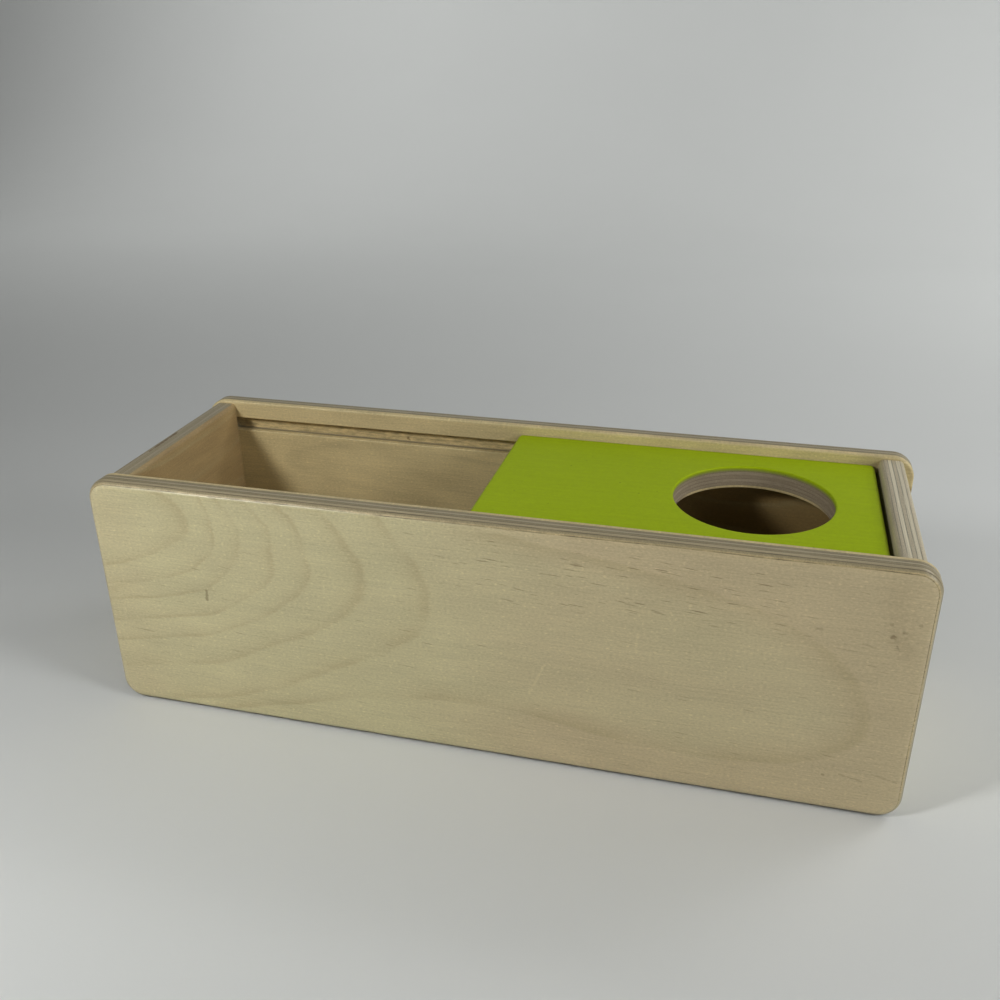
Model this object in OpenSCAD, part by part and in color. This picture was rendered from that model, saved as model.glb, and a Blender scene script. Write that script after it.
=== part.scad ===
// Object permanence box: an open plywood box with a sliding lid that has a round drop hole.
// Two rounded side panels hold two inset end panels, a grooved-in floor and the lid.
// The origin is on the table under the middle of the box, with X along the box and Z up.

/* [Box] */
// Length of the two side panels
box_length = 300; // [240:1:400]
// Distance between the outer faces of the two side panels
box_width = 101; // [95:1:140]
// Height of the side panels
box_height = 97; // [85:1:140]
// Thickness of the plywood in the four walls
board = 9; // [8.5:0.5:12]
// Radius of the side panels' corners, seen from the front
corner_r = 8.5; // [5:0.5:14]
// Radius of the rounded edges all round the side panels' outer faces
edge_r = 3.3; // [1:0.1:5]
// Radius of the eased edges all round the side panels' inner faces
inner_edge_r = 0.8; // [0.3:0.1:3]

/* [End panels] */
// Distance from the ends of the side panels to the end panels
end_inset = 4.4; // [3:0.1:10]
// How far the end panels stop short of the side panels' top and bottom edges
end_drop = 1.25; // [0.5:0.05:3]
// Radius of the end panels' long edges
end_edge_r = 2; // [1:0.1:3]

/* [Sliding lid] */
// Length of the lid along the box
lid_length = 141; // [110:1:150]
// Thickness of the lid
lid_thick = 9; // [8:0.5:12]
// Depth of the lid's top face below the side panels' top edges
lid_drop = 3.9; // [2:0.1:8]
// Thickness of the tongue along the lid's two long edges
tongue_thick = 5; // [4:0.1:6]
// Reach of the tongue into each groove
tongue_reach = 4; // [3:0.1:5]
// Gap between the resting lid and the right end panel
lid_rest_gap = 1.4; // [1:0.1:10]
// Radius of the lid's two short edges
lid_end_r = 1.5; // [0.5:0.1:2.5]
// Diameter of the drop hole
hole_d = 57; // [40:0.5:65]
// Distance from the lid's right end to the rim of the hole
hole_margin = 15.8; // [10:0.1:40]
// Width of the bevel on the hole's upper and lower rims
hole_bevel = 0.6; // [0.2:0.1:1.5]

/* [Floor] */
// Thickness of the floor
floor_thick = 6; // [4:0.5:8]
// Height of the floor's underside above the table
floor_rise = 6; // [4:0.5:12]
// Reach of the floor into the grooves of the four walls
floor_reach = 4; // [3:0.1:5]

/* [Dowels] */
// Diameter of the dowels in the corner joints
dowel_d = 6; // [4:0.5:6]
// Length of a dowel
dowel_length = 25; // [16:0.5:35]
// Depth that a dowel reaches into a side panel
dowel_sink = 5; // [3:0.1:6]
// Bevel on a dowel's ends
dowel_bevel = 0.6; // [0.2:0.1:1]
// Height of the lower dowels above the floor, and of the upper ones below the lid groove
dowel_offset = 18; // [12:0.5:22]

/* [Clearances] */
// Clearance above, below and beside the lid's tongue
slide_clear = 0.3; // [0.2:0.05:0.5]
// Clearance between the lid's shoulders and the side panels
shoulder_clear = 0.4; // [0.2:0.05:0.8]
// Clearance of a glued fit, all round
glue_clear = 0.1; // [0.05:0.05:0.2]

/* [Hidden] */
$fn = 96;
// Overlap of a cutting shape past the face that it starts from
past = 1;
birch = "#D6C79E";
green = "#9DB52B";
beech = "#C9A878";

inner_length = box_length - 2 * (end_inset + board);
inner_width = box_width - 2 * board;
end_middle = box_length / 2 - end_inset - board / 2;
floor_top = floor_rise + floor_thick;

lid_top = box_height - lid_drop;
lid_bottom = lid_top - lid_thick;
lid_right = inner_length / 2 - lid_rest_gap;
lid_middle = lid_right - lid_length / 2;
hole_r = hole_d / 2;
hole_x = lid_right - hole_margin - hole_r;

groove_low = lid_bottom - slide_clear;
groove_high = lid_bottom + tongue_thick + slide_clear;
groove_depth = tongue_reach + slide_clear;
floor_slot = floor_thick + 2 * glue_clear;
floor_slot_depth = floor_reach + glue_clear;
floor_middle = floor_rise + floor_thick / 2;

dowel_hole_d = dowel_d + 2 * glue_clear;
dowel_low = floor_top + dowel_offset;
dowel_high = groove_low - dowel_offset;

SIDES = ["front", "back"];
ENDS = ["left", "right"];
LEVELS = ["lower", "upper"];
PANELS = ["front_panel", "back_panel", "left_end_panel", "right_end_panel", "floor_panel", "sliding_lid"];
DOWELS = [for (s = SIDES, e = ENDS, l = LEVELS) str(s, "_", e, "_", l, "_dowel")];

function side_sign(side) = side == "front" ? -1 : 1;
function end_sign(end) = end == "left" ? -1 : 1;
function dowel_z(level) = level == "lower" ? dowel_low : dowel_high;

// Rectangle with round corners, centred
module rounded_rectangle(w, h, r) {
    square([w - 2 * r, h], center = true);
    square([w, h - 2 * r], center = true);
    for (x = [-1, 1], y = [-1, 1])
        translate([x * (w / 2 - r), y * (h / 2 - r)]) circle(r);
}

// Slot with round ends, from the first end's middle to the second's
module slot(length, width) {
    square([length, width], center = true);
    for (x = [-1, 1])
        translate([x * length / 2, 0]) circle(d = width);
}

// Cross-section of a side panel's rim, from the corner's centre outwards and from the outer face inwards
module rim_section() {
    square([corner_r - edge_r, board]);
    translate([0, edge_r]) {
        square([corner_r, board - edge_r - inner_edge_r]);
        square([corner_r - inner_edge_r, board - edge_r]);
    }
    translate([corner_r - edge_r, edge_r]) circle(edge_r);
    translate([corner_r - inner_edge_r, board - inner_edge_r]) circle(inner_edge_r);
}

// Straight rim piece of a given length, lying along X with its edge towards -Y
module rim(length) {
    rotate([90, 0, 90])
        linear_extrude(length, center = true)
            mirror([1, 0]) rim_section();
}

// Side panel lying on its outer face, with round corners and rounded edges all round
module rounded_board() {
    straight_x = box_length - 2 * corner_r;
    straight_y = box_height - 2 * corner_r;
    translate([0, 0, board / 2]) cube([straight_x, straight_y, board], center = true);
    for (turn = [0, 180]) rotate(turn) {
        translate([0, -straight_y / 2, 0]) rim(straight_x);
        rotate(90) translate([0, -straight_x / 2, 0]) rim(straight_y);
        translate([straight_x / 2, straight_y / 2, 0]) rotate_extrude(angle = 90) rim_section();
        rotate(90) translate([straight_y / 2, straight_x / 2, 0]) rotate_extrude(angle = 90) rim_section();
    }
}

// Groove in a side panel's inner face, centred on a height; its ends are hidden by the end panels
module side_groove(height, half_length, width, depth) {
    translate([0, height - box_height / 2, board - depth])
        linear_extrude(depth + past) slot(2 * half_length, width);
}

// Side panel standing at the back of the box, with grooves for the lid and the floor
module side_panel() {
    groove_width = groove_high - groove_low;
    translate([0, box_width / 2, box_height / 2]) rotate([90, 0, 0]) difference() {
        rounded_board();
        side_groove((groove_low + groove_high) / 2, inner_length / 2, groove_width, groove_depth);
        side_groove(floor_middle, inner_length / 2 + floor_slot_depth, floor_slot, floor_slot_depth);
        for (x = [-1, 1], z = [dowel_low, dowel_high])
            translate([x * end_middle, z - box_height / 2, board - dowel_sink - glue_clear])
                cylinder(dowel_sink + glue_clear + past, d = dowel_hole_d);
    }
}

// End panel at the right of the box, with a groove for the floor and dowel holes in its butt ends
module end_panel() {
    end_height = box_height - 2 * end_drop;
    hole_depth = dowel_length - dowel_sink + glue_clear;
    difference() {
        translate([end_middle, 0, box_height / 2]) rotate([90, 0, 0])
            linear_extrude(inner_width, center = true) rounded_rectangle(board, end_height, end_edge_r);
        translate([inner_length / 2 - past, -inner_width / 2 - past, floor_rise - glue_clear])
            cube([floor_slot_depth + past, inner_width + 2 * past, floor_slot]);
        for (y = [-1, 1], z = [dowel_low, dowel_high])
            translate([end_middle, y * (inner_width / 2 + past), z]) rotate([y * 90, 0, 0])
                cylinder(hole_depth + past, d = dowel_hole_d);
    }
}

module front_panel() {
    color(birch) rotate(180) side_panel();
}

module back_panel() {
    color(birch) side_panel();
}

module left_end_panel() {
    color(birch) rotate(180) end_panel();
}

module right_end_panel() {
    color(birch) end_panel();
}

module floor_panel() {
    color(birch) translate([0, 0, floor_middle])
        cube([inner_length + 2 * floor_reach, inner_width + 2 * floor_reach, floor_thick], center = true);
}

// Lid with a thinner tongue along both long edges, round short edges and a bevelled hole
module sliding_lid() {
    color(green) difference() {
        intersection() {
            translate([lid_middle, 0, lid_bottom]) rotate([90, 0, 90])
                linear_extrude(lid_length + 2 * past, center = true) lid_section();
            translate([lid_middle, 0, lid_top - lid_thick / 2]) rotate([90, 0, 0])
                linear_extrude(box_width, center = true) rounded_rectangle(lid_length, lid_thick, lid_end_r);
        }
        translate([hole_x, 0, lid_bottom]) drop_hole();
    }
}

// Cross-section of the lid: the shouldered body above the full-width tongue
module lid_section() {
    tongue_width = inner_width + 2 * tongue_reach;
    body_width = inner_width - 2 * shoulder_clear;
    translate([-tongue_width / 2, 0]) square([tongue_width, tongue_thick]);
    translate([-body_width / 2, 0]) square([body_width, lid_thick]);
}

// Hole through the lid with a bevel at both rims
module drop_hole() {
    translate([0, 0, -past]) cylinder(lid_thick + 2 * past, r = hole_r);
    bevel_height = hole_bevel + past;
    translate([0, 0, lid_thick - hole_bevel]) cylinder(bevel_height, hole_r, hole_r + bevel_height);
    translate([0, 0, -past]) cylinder(bevel_height, hole_r + bevel_height, hole_r);
}

// Dowel across one corner joint, from the side panel into the butt end of the end panel
module dowel(side, end, level) {
    start = inner_width / 2 + dowel_sink;
    barrel = dowel_length - 2 * dowel_bevel;
    tip_d = dowel_d - 2 * dowel_bevel;
    color(beech) translate([end_sign(end) * end_middle, side_sign(side) * start, dowel_z(level)])
        rotate([side_sign(side) * 90, 0, 0]) {
            cylinder(dowel_bevel, d1 = tip_d, d2 = dowel_d);
            translate([0, 0, dowel_bevel]) cylinder(barrel, d = dowel_d);
            translate([0, 0, dowel_bevel + barrel]) cylinder(dowel_bevel, d1 = dowel_d, d2 = tip_d);
        }
}

front_panel();
back_panel();
left_end_panel();
right_end_panel();
floor_panel();
sliding_lid();
for (s = SIDES, e = ENDS, l = LEVELS)
    dowel(s, e, l);
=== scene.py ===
"""Looks of an object permanence box: a long plywood box with a green lid that slides in grooves.

Lengths are millimetres until a mesh is written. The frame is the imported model's: X along the box,
Y from the front side panel to the back one, Z up, with the origin on the table under the middle.
"""

import logging
import math
from dataclasses import dataclass
from enum import Enum
from typing import Any, Protocol

import bmesh
import bpy
import numpy as np
from mathutils import Matrix, Vector


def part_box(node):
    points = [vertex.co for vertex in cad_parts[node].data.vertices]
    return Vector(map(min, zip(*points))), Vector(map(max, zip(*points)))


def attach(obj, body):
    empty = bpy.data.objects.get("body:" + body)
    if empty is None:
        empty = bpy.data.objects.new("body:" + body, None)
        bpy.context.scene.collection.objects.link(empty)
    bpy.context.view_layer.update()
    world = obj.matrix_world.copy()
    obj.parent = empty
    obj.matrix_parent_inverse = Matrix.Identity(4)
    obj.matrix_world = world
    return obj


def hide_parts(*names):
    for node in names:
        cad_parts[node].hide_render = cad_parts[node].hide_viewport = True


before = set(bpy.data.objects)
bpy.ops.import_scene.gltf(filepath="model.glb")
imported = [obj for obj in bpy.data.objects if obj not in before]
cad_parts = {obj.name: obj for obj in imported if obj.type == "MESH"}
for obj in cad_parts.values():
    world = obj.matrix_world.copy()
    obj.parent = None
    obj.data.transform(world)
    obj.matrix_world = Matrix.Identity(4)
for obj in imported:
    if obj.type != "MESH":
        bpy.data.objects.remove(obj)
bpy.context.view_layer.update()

log = logging.getLogger("permanence_box")

# Metres in a millimetre
MM = 0.001
# Points of a surface that agree to this are one
WELD = 1e-4
# Edges that turn by more than this aren't smoothed
SHARP_ANGLE = math.radians(38)
# Width of the flat strip beside a rounded edge, which keeps the shading of the face flat
SUPPORT = 0.5
# Points on a small eased rim, both ends included
EASE_STEPS = 4
Colour = tuple[float, float, float]
Place = tuple[float, float, float]


class Axis(Enum):
    """Axes of the frame, numbered as in a coordinate."""

    X = 0
    Y = 1
    Z = 2


class Body(Enum):
    """Bodies that the pieces ride on."""

    BOX = "box"
    LID = "lid"


class Slot(Enum):
    """Names of material slots for the new pieces, which nothing in the script uses."""

    PLYWOOD = "birch_plywood"
    LACQUER = "green_lacquer"


def cad_box(node: str) -> tuple[np.ndarray, np.ndarray]:
    """Corners of a CAD node at rest.

    Args:
        node: the node's name.

    Returns:
        The lowest and the highest corner, in millimetres.
    """
    low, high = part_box(node)
    return np.round(np.array(low) / MM, 3), np.round(np.array(high) / MM, 3)


def roundover(radius: float, steps: int) -> tuple[np.ndarray, np.ndarray]:
    """Quarter turn from a face to an edge: radius * sin(turn) along, radius * (1 - cos(turn)) down.

    Args:
        radius: radius of the rounded edge.
        steps: number of points, both ends included.

    Returns:
        The distances along the face and the depths below it.
    """
    turn = np.linspace(0.0, np.pi / 2, steps)
    return radius * np.sin(turn), radius * (1 - np.cos(turn))


def border(grid: np.ndarray) -> np.ndarray:
    """Points round the rim of a grid, in order.

    Args:
        grid: points shaped (rows, columns, ...).

    Returns:
        The rim's points as one closed loop, without a repeated end.
    """
    return np.concatenate([grid[0, :-1], grid[:-1, -1], grid[-1, :0:-1], grid[:0:-1, 0]])


def pocket(loop: np.ndarray, centre: tuple[float, float], half_spine: float, radius: float,
           depth: float, ease: float) -> np.ndarray:
    """Flat face round a round-ended pocket, and the pocket itself.

    Each point of the loop slides straight towards the nearest point of the pocket's middle line until
    it is the radius away. It goes over the eased rim, down the wall and along the bottom to that line.

    Args:
        loop: outer points of the face, shaped (columns, 2).
        centre: middle of the pocket on the face.
        half_spine: half the length of the pocket's straight middle line, 0 for a round hole.
        radius: half the pocket's width.
        depth: depth of the pocket.
        ease: radius of the eased rim.

    Returns:
        Points shaped (rows, columns, 3): two coordinates on the face and the depth below it.
    """
    spine = np.clip(loop[:, 0], centre[0] - half_spine, centre[0] + half_spine)
    anchor = np.column_stack([spine, np.full(len(loop), centre[1])])
    reach = loop - anchor
    direction = reach / np.linalg.norm(reach, axis=1, keepdims=True)
    along, down = roundover(ease, EASE_STEPS)
    rim = radius + ease
    rho = np.concatenate([[rim + SUPPORT / 2], rim - along, [radius, radius - ease, 0.0]])
    levels = np.concatenate([[0.0], down, [depth, depth, depth]])
    rows = anchor + rho[:, None, None] * direction
    rows = np.concatenate([loop[None], rows])
    levels = np.concatenate([[0.0], levels])
    return np.concatenate([rows, np.broadcast_to(levels[:, None, None], rows.shape[:2] + (1,))], axis=2)


class Shell:
    """Closed surface gathered from grids of points and welded along their shared edges."""

    def __init__(self) -> None:
        """Starts with no grids."""
        self.grids: list[np.ndarray] = []

    def add(self, grid: np.ndarray, closed: bool = False) -> None:
        """Adds one grid of points.

        Args:
            grid: points in millimetres, shaped (rows, columns, 3).
            closed: whether the last column joins the first one.
        """
        self.grids.append(np.concatenate([grid, grid[:, :1]], axis=1) if closed else grid)

    def faces(self) -> tuple[np.ndarray, np.ndarray, np.ndarray]:
        """Welds the grids: points that agree to a ten-thousandth of a millimetre become one.

        Returns:
            The points, the four-sided faces and the three-sided ones that collapsed corners leave.
        """
        corners, start = [], 0
        for grid in self.grids:
            number = np.arange(grid.shape[0] * grid.shape[1]).reshape(grid.shape[:2]) + start
            start += number.size
            cell = [number[:-1, :-1], number[:-1, 1:], number[1:, 1:], number[1:, :-1]]
            corners.append(np.stack(cell, axis=-1).reshape(-1, 4))
        points = np.concatenate([grid.reshape(-1, 3) for grid in self.grids])
        keys = np.round(points / WELD).astype(np.int64)
        _, first, same = np.unique(keys, axis=0, return_index=True, return_inverse=True)
        cells = same.reshape(-1)[np.concatenate(corners)]
        joined = cells == np.roll(cells, -1, axis=1)
        quads = cells[~joined.any(axis=1)]
        single = joined.sum(axis=1) == 1
        kept = np.argsort(joined[single], axis=1, kind="stable")[:, :3]
        triangles = np.take_along_axis(cells[single], np.sort(kept, axis=1), axis=1)
        return points[first], quads, triangles

    def build(self, name: str) -> bpy.types.Object:
        """Writes the welded surface as a mesh object in metres, faces outwards.

        Args:
            name: name of the piece.

        Returns:
            The new object, linked to the scene.
        """
        points, quads, triangles = self.faces()
        mesh = bpy.data.meshes.new(name)
        mesh.from_pydata(points * MM, [], quads.tolist() + triangles.tolist())
        shape = bmesh.new()
        shape.from_mesh(mesh)
        bmesh.ops.delete(shape, geom=[v for v in shape.verts if not v.link_faces], context="VERTS")
        bmesh.ops.recalc_face_normals(shape, faces=shape.faces)
        open_edges = sum(not edge.is_manifold for edge in shape.edges)
        shape.to_mesh(mesh)
        shape.free()
        mesh.shade_smooth()
        mesh.set_sharp_from_angle(angle=SHARP_ANGLE)
        piece = bpy.data.objects.new(name, mesh)
        bpy.context.scene.collection.objects.link(piece)
        log.info("%s: %d faces, %d open edges", name, len(mesh.polygons), open_edges)
        return piece


@dataclass(frozen=True)
class Ring:
    """Rounded rectangle as points on its core rectangle and outward directions.

    A ring point at a distance rho is anchor + rho * direction, on straight sides and corners alike.
    The runs are right side, corner, top side, corner, left side, corner, bottom side, corner.

    Attributes:
        anchor: point on the core rectangle, for each column.
        direction: outward direction of length 1, for each column.
        run: number of the run that each column is in, from 0.
    """

    anchor: np.ndarray
    direction: np.ndarray
    run: np.ndarray

    @classmethod
    def around(cls, across: np.ndarray, up: np.ndarray, corner_steps: int) -> "Ring":
        """Samples a rounded rectangle counter-clockwise.

        Args:
            across: rising coordinates along the core's top and bottom sides.
            up: rising coordinates along the core's left and right sides.
            corner_steps: points on each corner, both ends included.

        Returns:
            The ring.
        """
        sides = [
            np.column_stack([np.full(len(up), across[-1]), up]),
            np.column_stack([across[::-1], np.full(len(across), up[-1])]),
            np.column_stack([np.full(len(up), across[0]), up[::-1]]),
            np.column_stack([across, np.full(len(across), up[0])]),
        ]
        turn = np.linspace(0.0, np.pi / 2, corner_steps)
        anchors, angles = [], []
        for quarter, side in enumerate(sides):
            start = quarter * np.pi / 2
            anchors += [side, np.repeat(side[-1:], corner_steps, axis=0)]
            angles += [np.full(len(side), start), start + turn]
        angle = np.concatenate(angles)
        direction = np.round(np.column_stack([np.cos(angle), np.sin(angle)]), 12)
        run = np.repeat(np.arange(len(anchors)), [len(part) for part in anchors])
        return cls(np.concatenate(anchors), direction, run)

    def at(self, rho: float | np.ndarray) -> np.ndarray:
        """Ring points at a distance from the core, shaped (columns, 2)."""
        return self.anchor + np.asarray(rho).reshape(-1, 1) * self.direction

    def sweep(self, rho: np.ndarray, depth: np.ndarray) -> np.ndarray:
        """Carries a profile round the ring.

        Args:
            rho: the profile's distances from the core.
            depth: the profile's depths.

        Returns:
            Points shaped (rows, columns, 3): the ring's two coordinates and the depth.
        """
        flat = self.anchor + rho[:, None, None] * self.direction
        return np.concatenate([flat, np.broadcast_to(depth[:, None, None], flat.shape[:2] + (1,))], axis=2)


class Wire:
    """One output of a shader tree. Arithmetic on values adds Math nodes to the tree."""

    def __init__(self, tree: "Tree", socket: bpy.types.NodeSocket) -> None:
        """Wraps a socket of a tree."""
        self.tree = tree
        self.socket = socket

    def math(self, operation: str, *others: Any) -> "Wire":
        """Math node with this wire first and the others after it."""
        return self.tree.node("ShaderNodeMath", {"operation": operation}, dict(enumerate((self, *others))))

    def __add__(self, other: Any) -> "Wire":
        """Sum."""
        return self.math("ADD", other)

    def __radd__(self, other: float) -> "Wire":
        """Sum with a number in front."""
        return self.math("ADD", other)

    def __sub__(self, other: Any) -> "Wire":
        """Difference."""
        return self.math("SUBTRACT", other)

    def __rsub__(self, other: float) -> "Wire":
        """Difference from a number."""
        return self.tree.node("ShaderNodeMath", {"operation": "SUBTRACT"}, {0: other, 1: self})

    def __mul__(self, other: Any) -> "Wire":
        """Product."""
        return self.math("MULTIPLY", other)

    def __rmul__(self, other: float) -> "Wire":
        """Product with a number in front."""
        return self.math("MULTIPLY", other)

    def __truediv__(self, other: Any) -> "Wire":
        """Quotient."""
        return self.math("DIVIDE", other)

    def __pow__(self, other: float) -> "Wire":
        """Power."""
        return self.math("POWER", other)

    def __abs__(self) -> "Wire":
        """Size without sign."""
        return self.math("ABSOLUTE")

    def ramp(self, low: float, high: float) -> "Wire":
        """Smooth step that is 0 at low and 1 at high; low may be the larger one."""
        limits = {"Value": self, "From Min": low, "From Max": high}
        return self.tree.node("ShaderNodeMapRange", {"interpolation_type": "SMOOTHSTEP"}, limits)

    def share(self, low: float, high: float) -> "Wire":
        """Straight step from 0 at low to 1 at high."""
        return self.tree.node("ShaderNodeMapRange", {}, {"Value": self, "From Min": low, "From Max": high})


class Tree:
    """Node tree of one material."""

    def __init__(self, name: str) -> None:
        """Makes an empty material.

        Args:
            name: name of the material.
        """
        self.material = bpy.data.materials.new(name)
        self.material.use_nodes = True
        self.material.node_tree.nodes.clear()

    def node(self, kind: str, settings: dict[str, Any] | None = None,
             sockets: dict[int | str, Any] | None = None, output: int | str = 0) -> Wire:
        """Adds a node.

        Args:
            kind: the node's type.
            settings: properties, which are set first.
            sockets: values or wires by an input's name or number.
            output: name or number of the output that is wanted.

        Returns:
            That output.
        """
        added = self.material.node_tree.nodes.new(kind)
        for name, value in (settings or {}).items():
            setattr(added, name, value)
        for key, value in (sockets or {}).items():
            if isinstance(value, Wire):
                self.material.node_tree.links.new(value.socket, added.inputs[key])
            else:
                added.inputs[key].default_value = value
        return Wire(self, added.outputs[output]) if len(added.outputs) else Wire(self, added.inputs[0])

    def split(self, vector: Wire) -> list[Wire]:
        """The three coordinates of a vector."""
        separate = self.node("ShaderNodeSeparateXYZ", {}, {0: vector})
        return [Wire(self, output) for output in separate.socket.node.outputs]

    def vector(self, x: Any, y: Any, z: Any = 0.0) -> Wire:
        """A vector of three values or wires."""
        return self.node("ShaderNodeCombineXYZ", {}, {0: x, 1: y, 2: z})

    def point(self) -> Wire:
        """Place on the piece, in millimetres of the frame."""
        return self.scaled(self.node("ShaderNodeTexCoord", {}, {}, "Object"), 1 / MM)

    def facing(self) -> Wire:
        """Direction that the surface faces, in the frame."""
        return self.node("ShaderNodeTexCoord", {}, {}, "Normal")

    def noise(self, place: Wire, detail: float = 2.0, roughness: float = 0.5) -> Wire:
        """Soft noise about 0.5 whose lumps are one unit of the given place wide."""
        sockets = {"Vector": place, "Scale": 1.0, "Detail": detail, "Roughness": roughness}
        return self.node("ShaderNodeTexNoise", {}, sockets)

    def grain(self, along: Wire, across: Wire, length: float, width: float, layer: Any = 0.0,
              detail: float = 2.0, roughness: float = 0.5) -> Wire:
        """Soft noise in lumps that follow the grain.

        Args:
            along: place along the grain.
            across: place across the grain.
            length: length of a lump.
            width: width of a lump.
            layer: third coordinate, which picks the pattern.
            detail: number of finer steps.
            roughness: strength of the finer steps.

        Returns:
            Noise about 0.5.
        """
        return self.noise(self.vector(along / length, across / width, layer), detail, roughness)

    def lumps(self, place: list[Wire], sizes: Place, detail: float = 2.0, shift: float = 0.0) -> Wire:
        """Soft noise in lumps of given sizes.

        Args:
            place: place on the piece, as three coordinates.
            sizes: size of a lump along each axis.
            detail: number of finer steps.
            shift: moves the pattern, in lumps.

        Returns:
            Noise about 0.5.
        """
        x, y, z = (part / size for part, size in zip(place, sizes))
        return self.noise(self.vector(x, y, z + shift if shift else z), detail)

    def blend(self, first: Any, second: Any, factor: Any) -> Wire:
        """Colour between two colours."""
        sockets = {0: factor, 6: first, 7: second}
        return self.node("ShaderNodeMix", {"data_type": "RGBA"}, sockets, 2)

    def scaled(self, vector: Wire | Place, factor: Wire | float) -> Wire:
        """A vector times a value."""
        sockets = {"Vector": vector, "Scale": factor}
        return self.node("ShaderNodeVectorMath", {"operation": "SCALE"}, sockets)

    def shade(self, colour: Wire | Colour, value: Wire) -> Wire:
        """Colour made lighter or darker by a value."""
        return self.scaled(colour, value)

    def finish(self, colour: Wire, roughness: Wire, relief: Wire, relief_depth: float,
               constants: dict[str, float]) -> bpy.types.Material:
        """Joins colour, roughness and relief into a surface.

        Args:
            colour: base colour.
            roughness: roughness.
            relief: height between 0 and 1.
            relief_depth: height in millimetres that a relief of 1 stands for.
            constants: values that hold all over the surface, by the shader's socket.

        Returns:
            The finished material.
        """
        bump = self.node("ShaderNodeBump", {}, {"Height": relief, "Distance": relief_depth * MM})
        sockets = {"Base Color": colour, "Roughness": roughness, "Normal": bump, **constants}
        surface = self.node("ShaderNodeBsdfPrincipled", {}, sockets)
        self.node("ShaderNodeOutputMaterial", {}, {"Surface": surface})
        return self.material


def rgba(colour: Colour) -> tuple[float, float, float, float]:
    """Colour with full cover, as a colour socket takes it."""
    return (*colour, 1.0)


def dress(piece: bpy.types.Object, material: bpy.types.Material) -> None:
    """Gives a piece one material all over."""
    piece.data.materials.clear()
    piece.data.materials.append(material)


@dataclass(frozen=True)
class Lay:
    """How a board lies in the frame.

    Attributes:
        along: axis of the face grain.
        across: axis in the face, square to the grain.
        through: axis of the thickness.
        outer: coordinate of the outer face on the thickness axis.
        inward: 1 or -1, the direction from the outer face into the board.
        thick: thickness of the board.
    """

    along: Axis
    across: Axis
    through: Axis
    outer: float
    inward: int
    thick: float


@dataclass(frozen=True)
class Mark:
    """Stroke on a surface, along a line between two places.

    Attributes:
        start: one end of the line.
        end: the other end.
        width: half the width of the stroke.
        tone: cover of the stain, negative for a pale scratch.
        core: part of the half width that has the full tone; 0 makes a soft smudge.
        rag: how far noise moves the rim, in half widths.
    """

    start: Place
    end: Place
    width: float
    tone: float
    core: float = 0.3
    rag: float = 2.0

    def cover(self, tree: Tree, place: Wire, ragged: Wire) -> Wire:
        """Tone of the stroke: full on the line, fading over its half width, with a ragged rim.

        Args:
            tree: tree that gets the nodes.
            place: place on the piece.
            ragged: noise about 0.5 that roughens the rim.

        Returns:
            The stroke's cover at the place.
        """
        line = np.subtract(self.end, self.start)
        step = tuple(line / (line @ line))
        away = tree.node("ShaderNodeVectorMath", {"operation": "SUBTRACT"}, {0: place, 1: self.start})
        part = tree.node("ShaderNodeVectorMath", {"operation": "DOT_PRODUCT"}, {0: away, 1: step}, "Value")
        part = tree.node("ShaderNodeClamp", {}, {0: part})
        nearest = tree.scaled(tuple(line), part)
        gap = tree.node("ShaderNodeVectorMath", {"operation": "DISTANCE"}, {0: away, 1: nearest}, "Value")
        gap = gap + (ragged - 0.5) * (self.width * self.rag)
        return gap.ramp(self.width, self.width * self.core) * self.tone


class Figure(Protocol):
    """Growth-ring figure of a face veneer."""

    def tone(self, tree: Tree, along: Wire, across: Wire) -> Wire:
        """Darkness of the rings at a place, from 0 to 1."""

    def warmth(self, tree: Tree, along: Wire, across: Wire) -> Wire:
        """Share of the warmer wood at a place, from 0 to 1."""


# Part of a ring's width at which its dark line lies
LINE_AT = 0.9
# Share of a ring's darkness that builds up slowly before the line
SLOW_SHARE = 0.45


def ring_line(phase: Wire) -> Wire:
    """Darkness of growth rings: a slow rise, a narrow line at each whole phase and a sharp fall.

    Args:
        phase: count of rings up to the place.

    Returns:
        The darkness, from 0 to 1.
    """
    part = (phase + LINE_AT).math("FRACT")
    rise = part.ramp(0.25, LINE_AT) * SLOW_SHARE + part.ramp(0.7, LINE_AT) * (1.0 - SLOW_SHARE)
    return rise * part.ramp(1.0, LINE_AT)


@dataclass(frozen=True)
class ContourFigure:
    """Rings as the contour lines of soft lumps stretched along the grain, as in peeled veneer.

    Attributes:
        seed: shifts the lumps.
        length: length of a lump along the grain.
        width: width of a lump across the grain.
        count: contour lines from the lowest to the highest place.
        rag: how far fine noise moves a line, as a share of a ring.
        faintest: darkness of the faintest stretch of a ring.
        warmest: share of the warmer wood in the middle of a cloud.
    """

    seed: float
    length: float = 150.0
    width: float = 42.0
    count: float = 9.0
    rag: float = 0.16
    faintest: float = 0.35
    warmest: float = 0.7

    def tone(self, tree: Tree, along: Wire, across: Wire) -> Wire:
        """Darkness of the contour lines at a place.

        Args:
            tree: tree that gets the nodes.
            along: place along the grain.
            across: place across the grain.

        Returns:
            The darkness, from 0 to 1.
        """
        height = tree.grain(along, across, self.length, self.width, self.seed, detail=0.6)
        ragged = tree.grain(along, across, length=14.0, width=1.3, layer=self.seed, detail=1.0)
        patches = tree.grain(along, across, length=40.0, width=14.0, layer=self.seed + 8.0, detail=1.0)
        strength = self.faintest + patches.ramp(0.3, 0.7) * (1.0 - self.faintest)
        return ring_line(height * self.count + ragged * self.rag) * strength

    def warmth(self, tree: Tree, along: Wire, across: Wire) -> Wire:
        """Share of the warmer wood at a place: soft clouds."""
        cloud = tree.grain(along, across, length=70.0, width=30.0, layer=self.seed + 4.0)
        return cloud.ramp(0.36, 0.66) * self.warmest


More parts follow.
